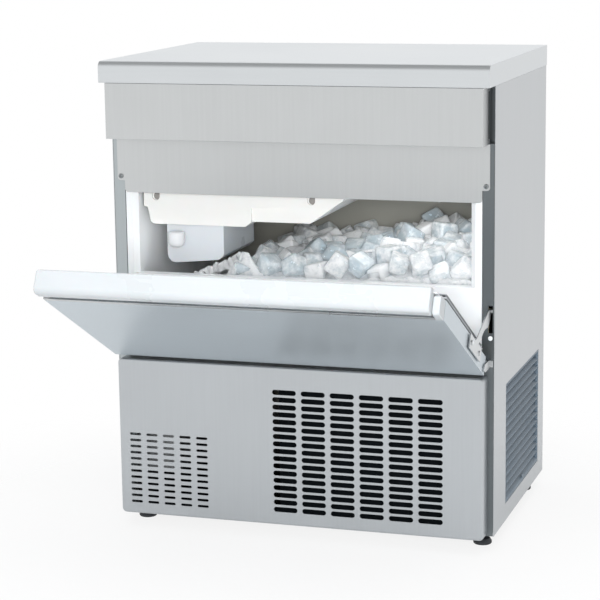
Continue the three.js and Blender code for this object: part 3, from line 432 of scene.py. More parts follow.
# true on upward faces: the worktop's upper faces take a lighter copy of its steel, a painted highlight
def paintedHighlightFaces(place, normal, least=0.9):
    return normal.z > least


# the pocket faces go dark: painted shade
paintFaces("insulation_rounded", "dark_plastic", inShadedPocket)
paintFaces("worktop_rounded", "stainless_painted_highlight", paintedHighlightFaces)


# unit vectors along an axis, across it, and at right angles to both
def unitFrame(axis):
    axis = np.asarray(axis, float)
    across = np.cross(axis, (0, 0, 1) if abs(axis[2]) < 0.5 else (1, 0, 0))
    across /= np.linalg.norm(across)
    return axis, across, np.cross(axis, across)


# profile of (radius, along) carried round an axis; along runs in the axis direction from the foot point
def turnedPoints(profile, foot, axis, sides):
    profile = np.asarray(profile, float)
    angle = np.arange(sides) * 2 * math.pi / sides
    axis, across, third = unitFrame(axis)
    ring = np.cos(angle)[:, None] * across + np.sin(angle)[:, None] * third
    points = profile[:, None, :1] * ring[None] + profile[:, None, 1:] * axis + np.asarray(foot, float)
    return points.reshape(-1, 3), gridFaces(len(profile), sides, closed=True)


# thread on a rod's profile: the radius drops by the depth at every second point, two points to a pitch
def threadProfile(radius, low, high, pitch, depth):
    turns = max(2, int((high - low) / pitch))
    along = low + (high - low) * np.arange(2 * turns + 1) / (2 * turns)
    return np.stack([radius - depth * (np.arange(2 * turns + 1) % 2), along], -1)


# pairs of points and faces as one mesh
def joinedMesh(name, pieces, crease=35):
    faces, count = [], 0
    for points, own in pieces:
        faces += [[int(i) + count for i in face] for face in own]
        count += len(points)
    return meshObject(name, np.concatenate([p for p, f in pieces]), faces, crease, outward=True)


screwLook = {"rings": 9, "sides": 32, "eye": 0.04, "dome": 0.55, "sink": 0.5, "bar": 0.16, "barSoft": 0.06,
             "reach": 0.62, "reachSoft": 0.08, "crease": 50, "head": 0.004, "high": 0.0022, "sunkIn": 0.0026,
             "rearHead": 0.0042, "rearInset": 0.009, "rearRows": 5, "rearEnds": 0.02, "topRows": 3,
             "topEnds": 0.16, "topInset": 0.012}


# screw head: a low dome over a disc, whose height falls with the square of the radius, and a cross recess that
# sinks where a point is near either bar of the cross and inside its reach
def screwHead(radius, foot, axis, look):
    rings = np.linspace(1, look["eye"], look["rings"])
    angle = np.arange(look["sides"]) * 2 * math.pi / look["sides"]
    r, a = np.meshgrid(rings, angle, indexing="ij")
    u, v = r * np.cos(a), r * np.sin(a)
    bar = np.minimum(np.abs(u), np.abs(v))
    reach = np.maximum(np.abs(u), np.abs(v))
    sunk = (np.clip((look["bar"] - bar) / look["barSoft"], 0, 1)
            * np.clip((look["reach"] - reach) / look["reachSoft"], 0, 1))
    along = look["high"] * (1 - look["dome"] * r ** 2) - look["high"] * look["sink"] * sunk
    axis, across, third = unitFrame(axis)
    top = radius * (u[..., None] * across + v[..., None] * third) + along[..., None] * axis
    edge = radius * (u[0][:, None] * across + v[0][:, None] * third)
    points = np.concatenate([edge[None], top]).reshape(-1, 3) + np.asarray(foot, float)
    faces = gridFaces(len(rings) + 1, look["sides"], closed=True).tolist()
    faces.append(list(range(len(points) - look["sides"], len(points))))
    faces.append(list(range(look["sides"]))[::-1])
    return points, faces


def makeScrews(look):
    for side in ("left", "right"):
        node = "hood_screw_" + side
        low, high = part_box(node)
        middle = ((low.x + high.x) / 2, low.y + look["sunkIn"], (low.z + high.z) / 2)
        head = screwHead(look["head"], middle, (0, -1, 0), look)
        dress(joinedMesh(node + "_head", [head], look["crease"]), node, "screw_steel")
    low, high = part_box("rear_panel")
    inset, ends, topEnds = look["rearInset"], look["rearEnds"], look["topEnds"]
    places = [(x, z) for x in (low.x + inset, high.x - inset)
              for z in np.linspace(low.z + ends, high.z - ends, look["rearRows"])]
    places += [(x, high.z - look["topInset"])
               for x in np.linspace(low.x + topEnds, high.x - topEnds, look["topRows"])]
    heads = [screwHead(look["rearHead"], (x, high.y, z), (0, 1, 0), look) for x, z in places]
    attach(joinedMesh("rear_panel_screws", heads, look["crease"]), "zinc", "cabinet")


makeScrews(screwLook)
print("screws made")


plugLook = {"sides": 32, "rings": 7, "eye": 0.02, "rim": 1e-4, "back": 0.3, "crease": 40}
# body, slot, material, radius, height, [(foot, axis)]
plugPlaces = {
    "slot_plugs": ("cabinet", "white_plastic", "white_plastic", 0.0037, 0.0009,
                   [((side * 0.3085, -0.0412, 0.345), (0, -1, 0)) for side in (1, -1)]),
    "tray_plugs": ("tray", "seal", "plug_grey", 0.0064, 0.0022,
                   [((x, -0.0146, 0.5475), (0, -1, 0)) for x in (-0.249, 0.015)]),
    "stay_rivets": ("door", "white_plastic", "white_plastic", 0.0038, 0.0022,
                    [((side * 0.3097, -0.1690, 0.3655), (side, 0, 0)) for side in (1, -1)]),
}


# round plug over a flat back: its height falls from the middle to the rim as the square root of 1 - r squared
def plugPoints(radius, high, foot, axis, look):
    r = np.linspace(look["eye"], 1, look["rings"])
    profile = np.stack([radius * r, high * np.sqrt(1 + look["rim"] - r ** 2)], -1)
    back = -high * look["back"]
    profile = np.concatenate([profile, [(radius, back), (radius * look["eye"], back)], profile[:1]])
    return turnedPoints(profile, foot, axis, look["sides"])


for name, (body, slot, material, radius, high, places) in plugPlaces.items():
    plugs = [plugPoints(radius, high, foot, axis, plugLook) for foot, axis in places]
    attach(joinedMesh(name, plugs, plugLook["crease"]), material, body)


grooveDeep = 0.0042
gasketLook = {"half": 0.302, "base": 0.005, "top": 0.270, "front": 0.0226, "pin": (0, -0.0766276, 0.306),
              "open": 62, "groove": grooveDeep, "shadeSpan": (0.9, 1.1), "crease": 25,
              "section": ((0, 0), (0, 0.0012), (grooveDeep, 0.0016), (grooveDeep, 0.0046), (0, 0.0050),
                          (0, 0.0074), (grooveDeep, 0.0078), (grooveDeep, 0.0106), (0.0003, 0.0110),
                          (0.0010, 0.0120), (0.0108, 0.0120), (0.0120, 0.0108), (0.0120, 0))}


# seal round the door liner: a grooved section (inward, deep) carried round four mitred corners in the door's
# own plane, then turned about the hinge pin by the open angle; the groove bottoms take dark plastic, painted
# shade
def makeGasket(look):
    section = np.array(look["section"])
    turn = math.radians(look["open"])
    rings = []
    for side, upper in ((1, 0), (1, 1), (-1, 1), (-1, 0)):
        x = side * (look["half"] - section[:, 0])
        up = look["top"] - section[:, 0] if upper else look["base"] + section[:, 0]
        deep = look["front"] + section[:, 1]
        y = deep * math.cos(turn) - up * math.sin(turn)
        z = deep * math.sin(turn) + up * math.cos(turn)
        rings.append(np.stack([x, y, z], -1) + look["pin"])
    points = np.concatenate(rings + rings[:1])
    faces = gridFaces(len(rings) + 1, len(section), closed=True)
    obj = meshObject("door_gasket_ribbed", points, faces, look["crease"], outward=True)
    dress(obj, "door_gasket", "gasket_grey")
    least, most = look["shadeSpan"]

    def inShadedGroove(place, normal):
        c = place - Vector(look["pin"])
        up = c.z * math.cos(turn) - c.y * math.sin(turn)
        inward = min(look["half"] - abs(c.x), look["top"] - up, up - look["base"])
        return look["groove"] * least < inward < look["groove"] * most

    # the groove bottoms go dark: painted shade in the grooves
    paintFaces(obj.name, "dark_plastic", inShadedGroove)


makeGasket(gasketLook)
print("plugs and seal made")


# section of a ring with its outer edges cut off: (radius, along) from one height to another
def chamferedRing(inner, outer, low, high, cut):
    return [(inner, low), (outer - cut, low), (outer, low + cut), (outer, high - cut), (outer - cut, high),
            (inner, high)]


# the pad's edge is given as (out from its rim, up from its foot) and then (out from its rim, up from its top)
footLook = {"pad": 0.015, "padHigh": 0.010, "hollow": 0.0004, "fillet": (0.0015, 0.0012), "sides": 40,
            "padFoot": ((-0.004, 0.0004), (-0.0035, 0), (-0.0014, 0), (-0.0003, 0.0012), (0, 0.003),
                        (-0.0006, 0.0055)),
            "padTop": ((-0.003, -0.001), (-0.006, 0)), "rod": 0.005, "rodFrom": 0.0014, "thread": 0.0012,
            "cut": 0.0006, "nut": 0.0085, "nutHigh": 0.005, "nutEdge": 0.0006, "nutSides": 6}


# adjustable foot: profiles of (radius, height) turned round its axis, which are a pad with a rolled edge, a
# threaded rod above it and a six-sided lock nut at the top
def makeFoot(node, look):
    low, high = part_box(node)
    foot = ((low.x + high.x) / 2, (low.y + high.y) / 2, low.z)
    tall = high.z - low.z
    pad, top, nutFrom = look["pad"], look["padHigh"], tall - look["nutHigh"]
    profile = [(0, look["hollow"])]
    profile += [(pad + out, up) for out, up in look["padFoot"]]
    profile += [(pad + out, top + up) for out, up in look["padTop"]]
    profile += [(look["rod"] + look["fillet"][0], top + look["fillet"][1])]
    thread = threadProfile(look["rod"], top + look["rodFrom"], nutFrom, look["thread"], look["cut"])
    profile = np.concatenate([profile, thread, [(0, nutFrom)]])
    nut = chamferedRing(0, look["nut"], nutFrom, tall, look["nutEdge"])
    obj = joinedMesh(node + "_turned", [turnedPoints(profile, foot, (0, 0, 1), look["sides"]),
                                        turnedPoints(nut, foot, (0, 0, 1), look["nutSides"])])
    dress(obj, node)


feet = ("foot_front_left", "foot_front_right", "foot_back_left", "foot_back_right")
for node in feet:
    makeFoot(node, footLook)


fittingLook = {"seat": 0.0003, "collar": 0.003, "collarEdge": 0.0005, "collarHole": 0.6, "collarSides": 6,
               "overlap": 0.9, "step": {"thread": 0.0052, "barb": 0.0045, "plain": 0.0038}, "lip": 0.001,
               "thread": 0.0018, "cut": 0.0009, "barbs": 3, "barb": 0.0016, "barbTop": 0.0003,
               "barbTip": 0.0001, "dome": 0.004, "domeFrom": 0.4, "domeSteps": 6, "wall": 0.0028,
               "mouth": 0.5, "boreLeast": 0.0015, "boreEdge": 0.0004, "boreEdgeDeep": 0.0006,
               "boreEnd": 0.004, "inside": 0.001, "sides": 40}
fittings = {"water_inlet": "thread", "drain_outlet": "barb", "cord_gland": "plain"}


# hose fitting through the rear panel: profiles of (radius, along) turned round its axis, which are a six-sided
# collar and a stub with a thread, with barbs whose radius drops and returns, or with an end rounded by a
# quarter of an ellipse; the profile runs back inside as the bore
def makeFitting(node, kind, look):
    low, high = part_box(node)
    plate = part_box("rear_panel")[1].y + look["seat"]
    foot = ((low.x + high.x) / 2, plate, (low.z + high.z) / 2)
    tall = high.y - plate
    end = tall - look["lip"]
    across = min(high.x - low.x, high.z - low.z) / 2
    stub = across - look["step"][kind]
    collar = chamferedRing(stub * look["collarHole"], across, 0, look["collar"], look["collarEdge"])
    base = look["collar"] * look["overlap"]
    if kind == "thread":
        outer = threadProfile(stub, base, end, look["thread"], look["cut"])
    elif kind == "barb":
        steps = np.linspace(base, end, look["barbs"] + 1)
        outer = np.concatenate([[(stub, a), (stub - look["barb"], b - look["barbTop"]),
                                 (stub, b - look["barbTip"])] for a, b in zip(steps[:-1], steps[1:])])
    else:
        turn = np.linspace(0, math.pi / 2, look["domeSteps"])
        up = look["domeFrom"] + (1 - look["domeFrom"]) * np.sin(turn)
        outer = np.stack([stub - look["dome"] + look["dome"] * np.cos(turn), base + (end - base) * up], -1)
        outer = np.concatenate([[(stub, base)], outer])
    mouth = outer[-1][0] - look["wall"] * look["mouth"]
    bore = max(outer[-1][0] - look["wall"], look["boreLeast"])
    foremost = low.y - plate + look["boreEnd"]
    inside = stub - look["inside"]
    inner = [(mouth, tall), (bore + look["boreEdge"], tall), (bore, tall - look["boreEdgeDeep"]),
             (bore, foremost), (inside, foremost), (inside, base)]
    closed = np.concatenate([outer, inner, outer[:1]])
    obj = joinedMesh(node + "_turned", [turnedPoints(collar + collar[:1], foot, (0, 1, 0), look["collarSides"]),
                                        turnedPoints(closed, foot, (0, 1, 0), look["sides"])])
    dress(obj, node)


for node, kind in fittings.items():
    makeFitting(node, kind, fittingLook)
print("feet and fittings turned")


# the rest of the CAD nodes keep their shape and take a finish
remade = {*edgeWidths, *feet, *fittings, "hood_screw_left", "hood_screw_right", "lower_front_panel",
          "ice_heap", "door_gasket"}
for node, obj in nodes.items():
    if node not in remade:
        obj.data.materials.clear()
        # the air filter takes the near-black finish: painted shade behind the grille slots
        obj.data.materials.append(materials["blackout_painted_shade" if node == "air_filter" else slotOf[node]])


panelLook = {
    "fold": 0.0035, "corner": 0.004, "sheet": 0.0012, "lip": 0.0003, "cornerSteps": 6, "foldSteps": 5,
    "slotSteps": 7, "slotEnd": 0.499, "slotInside": 0.97, "merge": 1e-7,
    "wide": {"left": -0.040, "base": 0.047, "columns": 6, "rows": 17, "stepX": 0.048, "stepZ": 0.01213,
             "long": 0.040, "high": 0.0083},
    "small": {"left": -0.287, "base": 0.044, "columns": 5, "rows": 12, "stepX": 0.0289, "stepZ": 0.0104,
              "long": 0.0194, "high": 0.0042},
}


# rounded rectangle: a quarter circle at each corner, walked anticlockwise in (x, z)
def roundedLoop(x0, x1, z0, z1, radius, steps):
    turn = np.linspace(0, math.pi / 2, steps + 1)
    corners = [(x1 - radius, z0 + radius, -90), (x1 - radius, z1 - radius, 0),
               (x0 + radius, z1 - radius, 90), (x0 + radius, z0 + radius, 180)]
    loops = []
    for cx, cz, degrees in corners:
        angle = turn + math.radians(degrees)
        loops.append(np.stack([cx + radius * np.cos(angle), cz + radius * np.sin(angle)], -1))
    return np.concatenate(loops)


# slot corners of one grille as an array of (x0, x1, z0, z1)
def slotTable(grille):
    column, row = np.meshgrid(np.arange(grille["columns"]), np.arange(grille["rows"]), indexing="ij")
    x0 = (grille["left"] + column * grille["stepX"]).ravel()
    z0 = (grille["base"] + row * grille["stepZ"]).ravel()
    return np.stack([x0, x0 + grille["long"], z0, z0 + grille["high"]], -1)


# flat face with holes: triangles between the outer loop and the slot loops, those inside a slot dropped
def punchedFace(outer, slots, look):
    steps, end = look["slotSteps"], look["slotEnd"]
    loops = [outer] + [roundedLoop(*s, (s[3] - s[2]) * end, steps) for s in slots]
    points = np.concatenate(loops)
    sizes = np.array([len(loop) for loop in loops])
    starts = np.concatenate([[0], np.cumsum(sizes)[:-1]])
    edges = np.concatenate([np.stack([s + np.arange(n), s + (np.arange(n) + 1) % n], -1)
                            for s, n in zip(starts, sizes)])
    made = geometry.delaunay_2d_cdt([Vector(p) for p in points], edges.tolist(), [], 1, look["merge"])
    flat = np.array([v[:] for v in made[0]])
    faces = np.array([f for f in made[2]])
    middle = flat[faces].mean(1)
    halfHigh = (slots[:, 3] - slots[:, 2]) / 2
    centreZ = (slots[:, 2] + slots[:, 3]) / 2
    nearX = np.clip(middle[:, None, 0], slots[:, 0] + halfHigh, slots[:, 1] - halfHigh)
    away = np.hypot(middle[:, None, 0] - nearX, middle[:, None, 1] - centreZ)
    keep = (away > halfHigh * look["slotInside"]).all(1)
    return flat, faces[keep], starts, sizes


# folded pan: the punched face and its copy one sheet behind, joined by the slot walls, and a rim of rings
# that leave the face on a quarter circle, run back, turn and return inside one sheet in
def makeLowerPanel(look):
    low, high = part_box("lower_front_panel")
    fold, sheet, lip = look["fold"], look["sheet"], look["lip"]

    def loopAt(inset, radius):
        return roundedLoop(low.x + inset, high.x - inset, low.z + inset, high.z - inset, radius,
                           look["cornerSteps"])

    slots = np.concatenate([slotTable(look["wide"]), slotTable(look["small"])])
    outer = loopAt(fold, look["corner"])
    flat, faces, starts, sizes = punchedFace(outer, slots, look)
    count = len(flat)
    front = np.stack([flat[:, 0], np.full(count, low.y), flat[:, 1]], -1)
    back = front + (0, sheet, 0)
    allFaces = [list(f) for f in faces] + [list(f[::-1] + count) for f in faces]
    flatFaces = len(allFaces)
    for s, n in zip(starts[1:], sizes[1:]):
        a = s + np.arange(n)
        b = s + (np.arange(n) + 1) % n
        allFaces += np.stack([b, a, a + count, b + count], -1).tolist()
    angle = np.linspace(0, math.pi / 2, look["foldSteps"] + 1)[1:]
    inner = fold - sheet
    path = [(fold * (1 - math.sin(a)), low.y + fold * (1 - math.cos(a))) for a in angle]
    path += [(0, high.y - lip), (lip, high.y), (sheet - lip, high.y), (sheet, high.y - lip)]
    path += [(sheet + inner * (1 - math.sin(a)), low.y + sheet + inner * (1 - math.cos(a)))
             for a in angle[::-1]]
    rim = []
    for inset, y in path:
        loop = loopAt(inset, look["corner"] + fold - inset)
        rim.append(np.stack([loop[:, 0], np.full(len(loop), y), loop[:, 1]], -1))
    ring = np.arange(len(outer))
    nextOf = (ring + 1) % len(outer)
    first = 2 * count
    last = first + (len(rim) - 1) * len(outer)
    allFaces += np.stack([ring, first + ring, first + nextOf, nextOf], -1)[:, ::-1].tolist()
    allFaces += gridFaces(len(rim), len(outer), closed=True, start=first).tolist()
    allFaces += np.stack([last + ring, count + ring, count + nextOf, last + nextOf], -1)[:, ::-1].tolist()
    obj = meshObject("lower_front_panel_punched", np.concatenate([front, back] + rim), allFaces)
    reworked(obj.data, facedOut)
    smooth = np.ones(len(obj.data.polygons), bool)
    smooth[:flatFaces] = False
    obj.data.polygons.foreach_set("use_smooth", smooth)
    obj.data.update()
    dress(obj, "lower_front_panel", "stainless_low_painted_shade")


makeLowerPanel(panelLook)
print("lower panel punched")


paintedShadeSheetLook = {"thick": 0.0012, "gap": 0.0003, "behind": 0.002, "below": 0.128, "under": 0.005,
                 "wave": 0.00024, "waves": 5, "columns": 60, "rows": 30}


# dark grey sheet over the bin's back wall, painted shade for the shadowed wall: a grid whose depth swells by
# the sine of its place along times the sine of its place up, closed by its back and rim
def makePaintedShadeSheet(look):
    heap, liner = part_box("ice_heap"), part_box("bin_liner")
    bottom, top = heap[1].z - look["below"], liner[1].z - look["under"]
    wall = heap[1].y + look["behind"] - look["gap"]
    u, v = np.meshgrid(np.linspace(0, 1, look["columns"]), np.linspace(0, 1, look["rows"]), indexing="ij")
    x = heap[0].x + (heap[1].x - heap[0].x) * u
    z = bottom + (top - bottom) * v
    swell = look["wave"] * np.sin(look["waves"] * u) * np.sin(math.pi * v)
    points = [np.stack([x, y, z], -1).reshape(-1, 3)
              for y in (wall - look["thick"] - swell, np.full_like(x, wall))]
    faces = slabFaces(look["columns"], look["rows"])
    attach(meshObject("bin_painted_shade_sheet", np.concatenate(points), faces, outward=True), "painted_shade_grey", "cabinet")


makePaintedShadeSheet(paintedShadeSheetLook)


# a slope is (gain, from, to) and a fade (from, to), across the bin or back from its front
heapLook = {
    "size": 0.036, "spread": 0.004, "layers": 2, "pitch": 0.0305, "drop": 0.020, "seed": 11, "jitter": 0.008,
    "sink": 0.004, "swell": 0.006, "proud": 0.012, "proudPower": 3, "proudFrom": -0.02,
    "settle": 60, "close": 0.53, "push": 0.5, "ease": 0.5, "shrink": 0.93, "stretch": (0.86, 1.02),
    "cloudLeast": 0.1, "cloudLoss": 0.6, "sharpness": 80,
    "front": -0.0396, "base": 0.343, "tankSlope": (0.048, -0.268, -0.205), "sideSlope": (0.064, -0.150, -0.092),
    "backSlope": (0.006, 0.040, 0.300), "right": 0.008, "rightSlope": (0.014, 0.030, 0.330),
    "rightFade": (0.070, 0.150),
    "packed": 0.019, "packedCloud": 0.6, "packedColumns": 56, "packedRows": 60,
    "ridge": (0.036, -0.262, -0.185), "ridgeEnd": (-0.112, -0.070), "ridgeBack": (0.028, 0.039),
    "dip": (0.014, -0.100, -0.060), "dipBack": (0.030, 0.060), "wave": 0.003, "waveX": 210, "waveY": 190,
    "edgeX": (-0.209, -0.180, -0.145, -0.131, -0.108), "edgeTop": (0.414, 0.427, 0.442, 0.447, 0.460),
    "edgeCount": 13, "edgeSize": 0.015, "edgeIn": 0.4, "edgeDown": 0.55, "edgeStagger": 0.0008,
}
cubeLook = {"flat": 0.70, "dish": 0.57, "dishDeep": 0.34, "taper": 0.07, "power": 9.0}


# smooth step from 0 to the gain between two places: the gain times t squared times 3 - 2 t
def slope(v, gain, start, end):
    t = np.clip((v - start) / (end - start), 0, 1)
    return gain * (t * t * (3 - 2 * t))


# 1 before a fade and 0 past its end
def fadeOut(v, start, end):
    return 1 - slope(v, 1, start, end)


# heap height over the bin's plan, in metres: low under the tank, a slope beside it, then gentle rises to the
# back and right
def heapHeight(x, y, look):
    depth = y - look["front"]
    left = look["base"] + slope(x, *look["tankSlope"]) + slope(x, *look["sideSlope"])
    back = slope(depth, *look["backSlope"])
    right = (look["right"] + slope(depth, *look["rightSlope"])) * slope(x, 1, *look["rightFade"])
    return left + back + right


# packed ice below the loose cubes: the heap's height lowered, with a ridge ahead of the tank, a dip along the
# rest of the front edge and small waves
def packedHeight(x, y, look):
    depth = y - look["front"]
    ridge = slope(x, *look["ridge"]) * fadeOut(x, *look["ridgeEnd"]) * fadeOut(depth, *look["ridgeBack"])
    dip = slope(x, *look["dip"]) * fadeOut(depth, *look["dipBack"])
    waves = look["wave"] * np.sin(x * look["waveX"]) * np.cos(y * look["waveY"])
    return heapHeight(x, y, look) - look["packed"] + ridge - dip + waves


# one cube: every side is a 3 x 3 grid whose middle square stays flat and whose border bends to the
# neighbouring side, since each point is divided by the root of the sum of its coordinates' powers; it narrows
# upwards, and the top has a round dish pressed into it
def cubePoints(look):
    steps = np.array([-1, -look["flat"], look["flat"], 1])
    u, v = np.meshgrid(steps, steps, indexing="ij")
    ones = np.ones_like(u)
    sidesOf = [(u, v, ones), (ones, u, v), (-ones, v, u), (v, ones, u), (u, -ones, v), (v, u, -ones)]
    points = np.concatenate([np.stack(s, -1).reshape(-1, 3) for s in sidesOf])
    faces = np.concatenate([gridFaces(4, 4, start=k * 16) for k in range(6)]).tolist()
    points = points / ((np.abs(points) ** look["power"]).sum(-1) ** (1 / look["power"]))[:, None]
    del faces[4]  # the middle square of the top, with the corners that follow
    ring = [5, 9, 10, 6]
    wide = look["dish"] / look["flat"]
    inner = points[ring] * (wide, wide, 1)
    inner[:, 2] -= look["dishDeep"]
    start = len(points)
    points = np.concatenate([points, inner])
    faces += [[ring[k], ring[(k + 1) % 4], start + (k + 1) % 4, start + k] for k in range(4)]
    faces.append(list(range(start, start + 4)))
    points[:, :2] *= 1 - look["taper"] * points[:, 2:3]
    return points, faces


# middles, sizes and lifts of the cubes: a grid of places in layers, moved by chance, pushed apart where they
# lie closer than their sizes allow, and held under the heap's surface
def settledCubes(look, low, high, rng):
    half = look["size"] / 2
    least, most = (low.x + half, low.y + half), (high.x - half, high.y - half)
    spanX, spanY = (np.arange(a, b + 1e-6, look["pitch"]) for a, b in zip(least, most))
    gx, gy, layer = np.meshgrid(spanX, spanY, np.arange(look["layers"]), indexing="ij")
    centres = np.stack([gx.ravel(), gy.ravel(), -layer.ravel() * look["drop"]], -1)
    count = len(centres)
    centres[:, :2] += rng.uniform(-look["jitter"], look["jitter"], (count, 2))
    surface = heapHeight(centres[:, 0], centres[:, 1], look) - half
    centres[:, 2] += surface + rng.uniform(-look["sink"], look["swell"], count)
    size = look["size"] + rng.uniform(-look["spread"], look["spread"], count)
    lift = rng.uniform(0, 1, count) ** look["proudPower"] * look["proud"] * (centres[:, 0] > look["proudFrom"])
    itself = np.eye(count)
    want = (size[:, None] + size[None]) * look["close"]
    for _ in range(look["settle"]):
        gap = centres[:, None] - centres[None]
        dist = np.sqrt((gap ** 2).sum(-1)) + itself
        push = np.clip(want - dist, 0, None) / dist * look["push"] * (1 - itself)
        centres += (gap * push[..., None]).sum(1) * look["ease"]
        centres[:, :2] = np.clip(centres[:, :2], least, most)
        surface = heapHeight(centres[:, 0], centres[:, 1], look) - half
        centres[:, 2] = np.minimum(centres[:, 2], surface + lift)
    return centres, size, lift


# middles of the small pieces along the bin's front edge, ahead of the tank, whose tops follow the given heights
def edgePieces(look, front):
    along = np.linspace(look["edgeX"][0], look["edgeX"][-1], look["edgeCount"])
    tops = np.interp(along, look["edgeX"], look["edgeTop"])
    y = front + look["edgeSize"] * look["edgeIn"] + look["edgeStagger"] * (np.arange(len(along)) % 2)
    return np.stack([along, y, tops - look["edgeSize"] * look["edgeDown"]], -1)


# share of cloudiness at each point, which the ice's material reads
def setCloud(obj, values):
    obj.data.attributes.new("cloud", "FLOAT", "POINT").data.foreach_set("value", values)


# loose cubes: one cube's points stretched, sized, turned and moved to each settled middle
def makeCubes(look, cube):
    rng = np.random.default_rng(look["seed"])
    low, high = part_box("ice_heap")
    centres, size, lift = settledCubes(look, low, high, rng)
    edge = edgePieces(look, low.y)
    centres = np.concatenate([centres, edge])
    count = len(centres)
    size = np.concatenate([size, np.full(len(edge), look["edgeSize"])])
    clear = np.concatenate([lift / look["proud"], np.zeros(len(edge))])
    points, faces = cubePoints(cube)
    turns = np.array([Euler(rng.uniform(0, 2 * math.pi, 3)).to_matrix() for _ in centres])
    stretch = rng.uniform(*look["stretch"], (count, 1, 3))
    shaped = points[None] * stretch * (size / 2)[:, None, None] * look["shrink"]
    moved = np.einsum("nij,npj->npi", turns, shaped) + centres[:, None]
    allFaces = [[i + k * len(points) for i in f] for k in range(count) for f in faces]
    cubes = meshObject("ice_cubes", moved.reshape(-1, 3), allFaces, crease=180)
    share = np.clip(rng.uniform(look["cloudLeast"], 1, count) - look["cloudLoss"] * clear, 0, 1)
    setCloud(cubes, np.repeat(share, len(points)))
    reworked(cubes.data, welded)
    cubes.data.shade_smooth()
    cubes.modifiers.new("normals", "WEIGHTED_NORMAL").weight = look["sharpness"]
    dress(cubes, "ice_heap")
    print("ice:", count, "cubes")


# packed ice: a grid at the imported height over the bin's plan, closed by its border and a flat foot
def makePackedIce(look):
    low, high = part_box("ice_heap")
    columns, rows = look["packedColumns"], look["packedRows"]
    gx, gy = np.meshgrid(np.linspace(low.x, high.x, columns), np.linspace(low.y, high.y, rows), indexing="ij")
    top = packedHeight(gx, gy, look)
    points = [np.stack([gx, gy, z], -1).reshape(-1, 3) for z in (top, np.full_like(top, low.z))]
    packed = meshObject("ice_packed", np.concatenate(points), slabFaces(columns, rows), outward=True)
    setCloud(packed, np.full(len(packed.data.vertices), look["packedCloud"]))
    attach(packed, "ice", "cabinet")


makeCubes(heapLook, cubeLook)
makePackedIce(heapLook)


floorLook = {"size": 8, "tone": 0.93, "grain": (30, 3), "speck": 0.985, "rough": 0.8, "shine": 0.1,
             "near": 0.45, "far": 0.95, "lift": 0.85, "mirrorLift": 0.45}


# pale floor that fades out with distance from the middle and that the camera and mirror rays see lifted
def makeFloor(look):
    bpy.ops.mesh.primitive_plane_add(size=look["size"])
    floor = bpy.context.object
    floor.name = "floor"
    tree, shader = newMaterial("floor_white")
    grain = stretchedNoise(tree, even, *look["grain"])
    tone = (look["tone"],) * 3
    tree.links.new(rampBetween(tree, grain, shade(tone, look["speck"]), shade(tone, 1)),
                   shader.inputs["Base Color"])
    setSockets(shader, Roughness=look["rough"], Specular_IOR_Level=look["shine"])
    coords = addNode(tree, "ShaderNodeTexCoord")
    length = addNode(tree, "ShaderNodeVectorMath", operation="LENGTH")
    tree.links.new(coords.outputs["Object"], length.inputs[0])
    fade = addNode(tree, "ShaderNodeMapRange", interpolation_type="SMOOTHSTEP")
    setSockets(fade, From_Min=look["near"], From_Max=look["far"])
    tree.links.new(length.outputs["Value"], fade.inputs["Value"])
    clear = addNode(tree, "ShaderNodeBsdfTransparent")
    glow = addNode(tree, "ShaderNodeEmission", Color=white, Strength=1)
    path = addNode(tree, "ShaderNodeLightPath")
    seen = mathOf(tree, "MULTIPLY", path.outputs["Is Camera Ray"], look["lift"])
    mirrored = mathOf(tree, "MULTIPLY", path.outputs["Is Glossy Ray"], look["mirrorLift"])
    lifted = mixedShader(tree, mathOf(tree, "ADD", seen, mirrored), shader.outputs["BSDF"],
                         glow.outputs["Emission"])
    blend = mixedShader(tree, fade.outputs["Result"], lifted, clear.outputs["BSDF"])
    tree.links.new(blend, tree.nodes["Material Output"].inputs["Surface"])
    floor.data.materials.append(materials["floor_white"])


roomLook = {"sky": (0.94, 0.97, 1.0, 1), "skyPower": 0.42, "ceiling": 0.32, "ceilingSpan": (0.38, 0.80)}


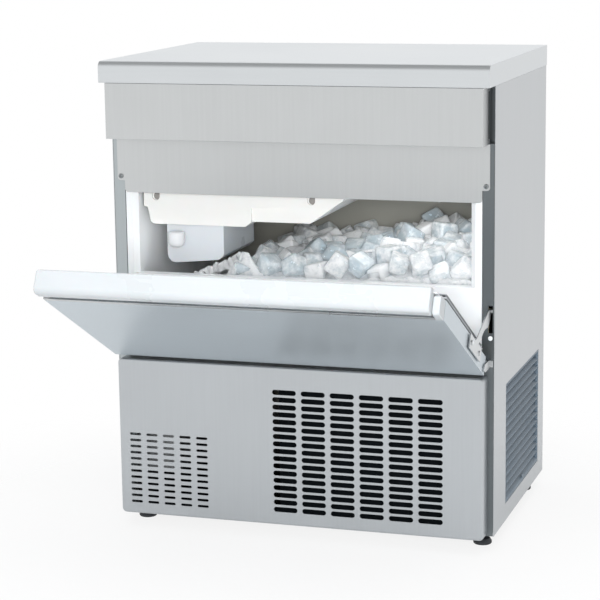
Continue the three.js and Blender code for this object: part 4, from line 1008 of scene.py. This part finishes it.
# white room with a darker ceiling for mirror rays, and a dimmer sky that lights the object
def makeRoom(look):
    world = bpy.context.scene.world = bpy.data.worlds.new("studio")
    world.use_nodes = True
    tree = world.node_tree
    tree.nodes.clear()
    out = tree.nodes.new("ShaderNodeOutputWorld")
    light = addNode(tree, "ShaderNodeBackground", Color=look["sky"], Strength=look["skyPower"])
    room = addNode(tree, "ShaderNodeBackground", Color=white)
    path = addNode(tree, "ShaderNodeLightPath")
    seen = mathOf(tree, "MAXIMUM", path.outputs["Is Camera Ray"], path.outputs["Is Transmission Ray"])
    seen = mathOf(tree, "MAXIMUM", seen, path.outputs["Is Glossy Ray"])
    direction = addNode(tree, "ShaderNodeSeparateXYZ")
    tree.links.new(addNode(tree, "ShaderNodeTexCoord").outputs["Generated"], direction.inputs["Vector"])
    height = rangeOf(tree, direction.outputs["Z"], 0, 1 - look["ceiling"], *look["ceilingSpan"])
    dimmed = mathOf(tree, "MULTIPLY", height, path.outputs["Is Glossy Ray"])
    tree.links.new(mathOf(tree, "SUBTRACT", 1, dimmed), room.inputs["Strength"])
    tree.links.new(mixedShader(tree, seen, light.outputs["Background"], room.outputs["Background"]),
                   out.inputs["Surface"])


middle = (0, 0, 0.4)
# name: (place, target, size, watts)
lamps = {
    "front": ((1.0, -3.15, 0.96), middle, (1.4, 1.0), 77),
    "overhead": ((0.2, -0.4, 3.2), middle, (3.0, 2.6), 60),
    "bounce": ((0.4, -1.7, 0.04), (0, -0.3, 0.44), (1.4, 0.6), 5.5),
    "bin": ((0.13, 0.07, 0.62), (0.13, 0.07, 0.40), (0.24, 0.08), 0.30),
    "wall": ((-0.240, 0.02, 0.475), (-0.30, 0.02, 0.475), (0.10, 0.06), 0.018),
}


# soft lamp that mirror rays don't see
def areaLamp(name, place, target, size, power):
    data = bpy.data.lights.new(name, "AREA")
    data.shape = "RECTANGLE"
    data.size, data.size_y = size
    data.energy = power
    lamp = placed(name, data)
    lamp.location = place
    lamp.rotation_euler = (Vector(target) - Vector(place)).to_track_quat("-Z", "Y").to_euler()
    lamp.visible_glossy = False


makeFloor(floorLook)
makeRoom(roomLook)
for name, lamp in lamps.items():
    areaLamp(name, *lamp)


shot = {"place": (0.963, -3.0426, 1.006), "yaw": -17.79, "down": 11.03, "roll": 0.77, "lens": 121.2,
        "sensor": 36, "reach": 60}
camera = placed("camera", bpy.data.cameras.new("camera"))
bpy.context.scene.camera = camera
camera.location = shot["place"]
camera.rotation_euler = (Matrix.Rotation(math.radians(-shot["yaw"]), 3, "Z")
                         @ Matrix.Rotation(math.radians(90 - shot["down"]), 3, "X")
                         @ Matrix.Rotation(math.radians(-shot["roll"]), 3, "Z")).to_euler()
camera.data.sensor_width = shot["sensor"]
camera.data.lens = shot["lens"]
camera.data.clip_end = shot["reach"]
bpy.context.scene.view_settings.view_transform = "Standard"
print("stage ready")
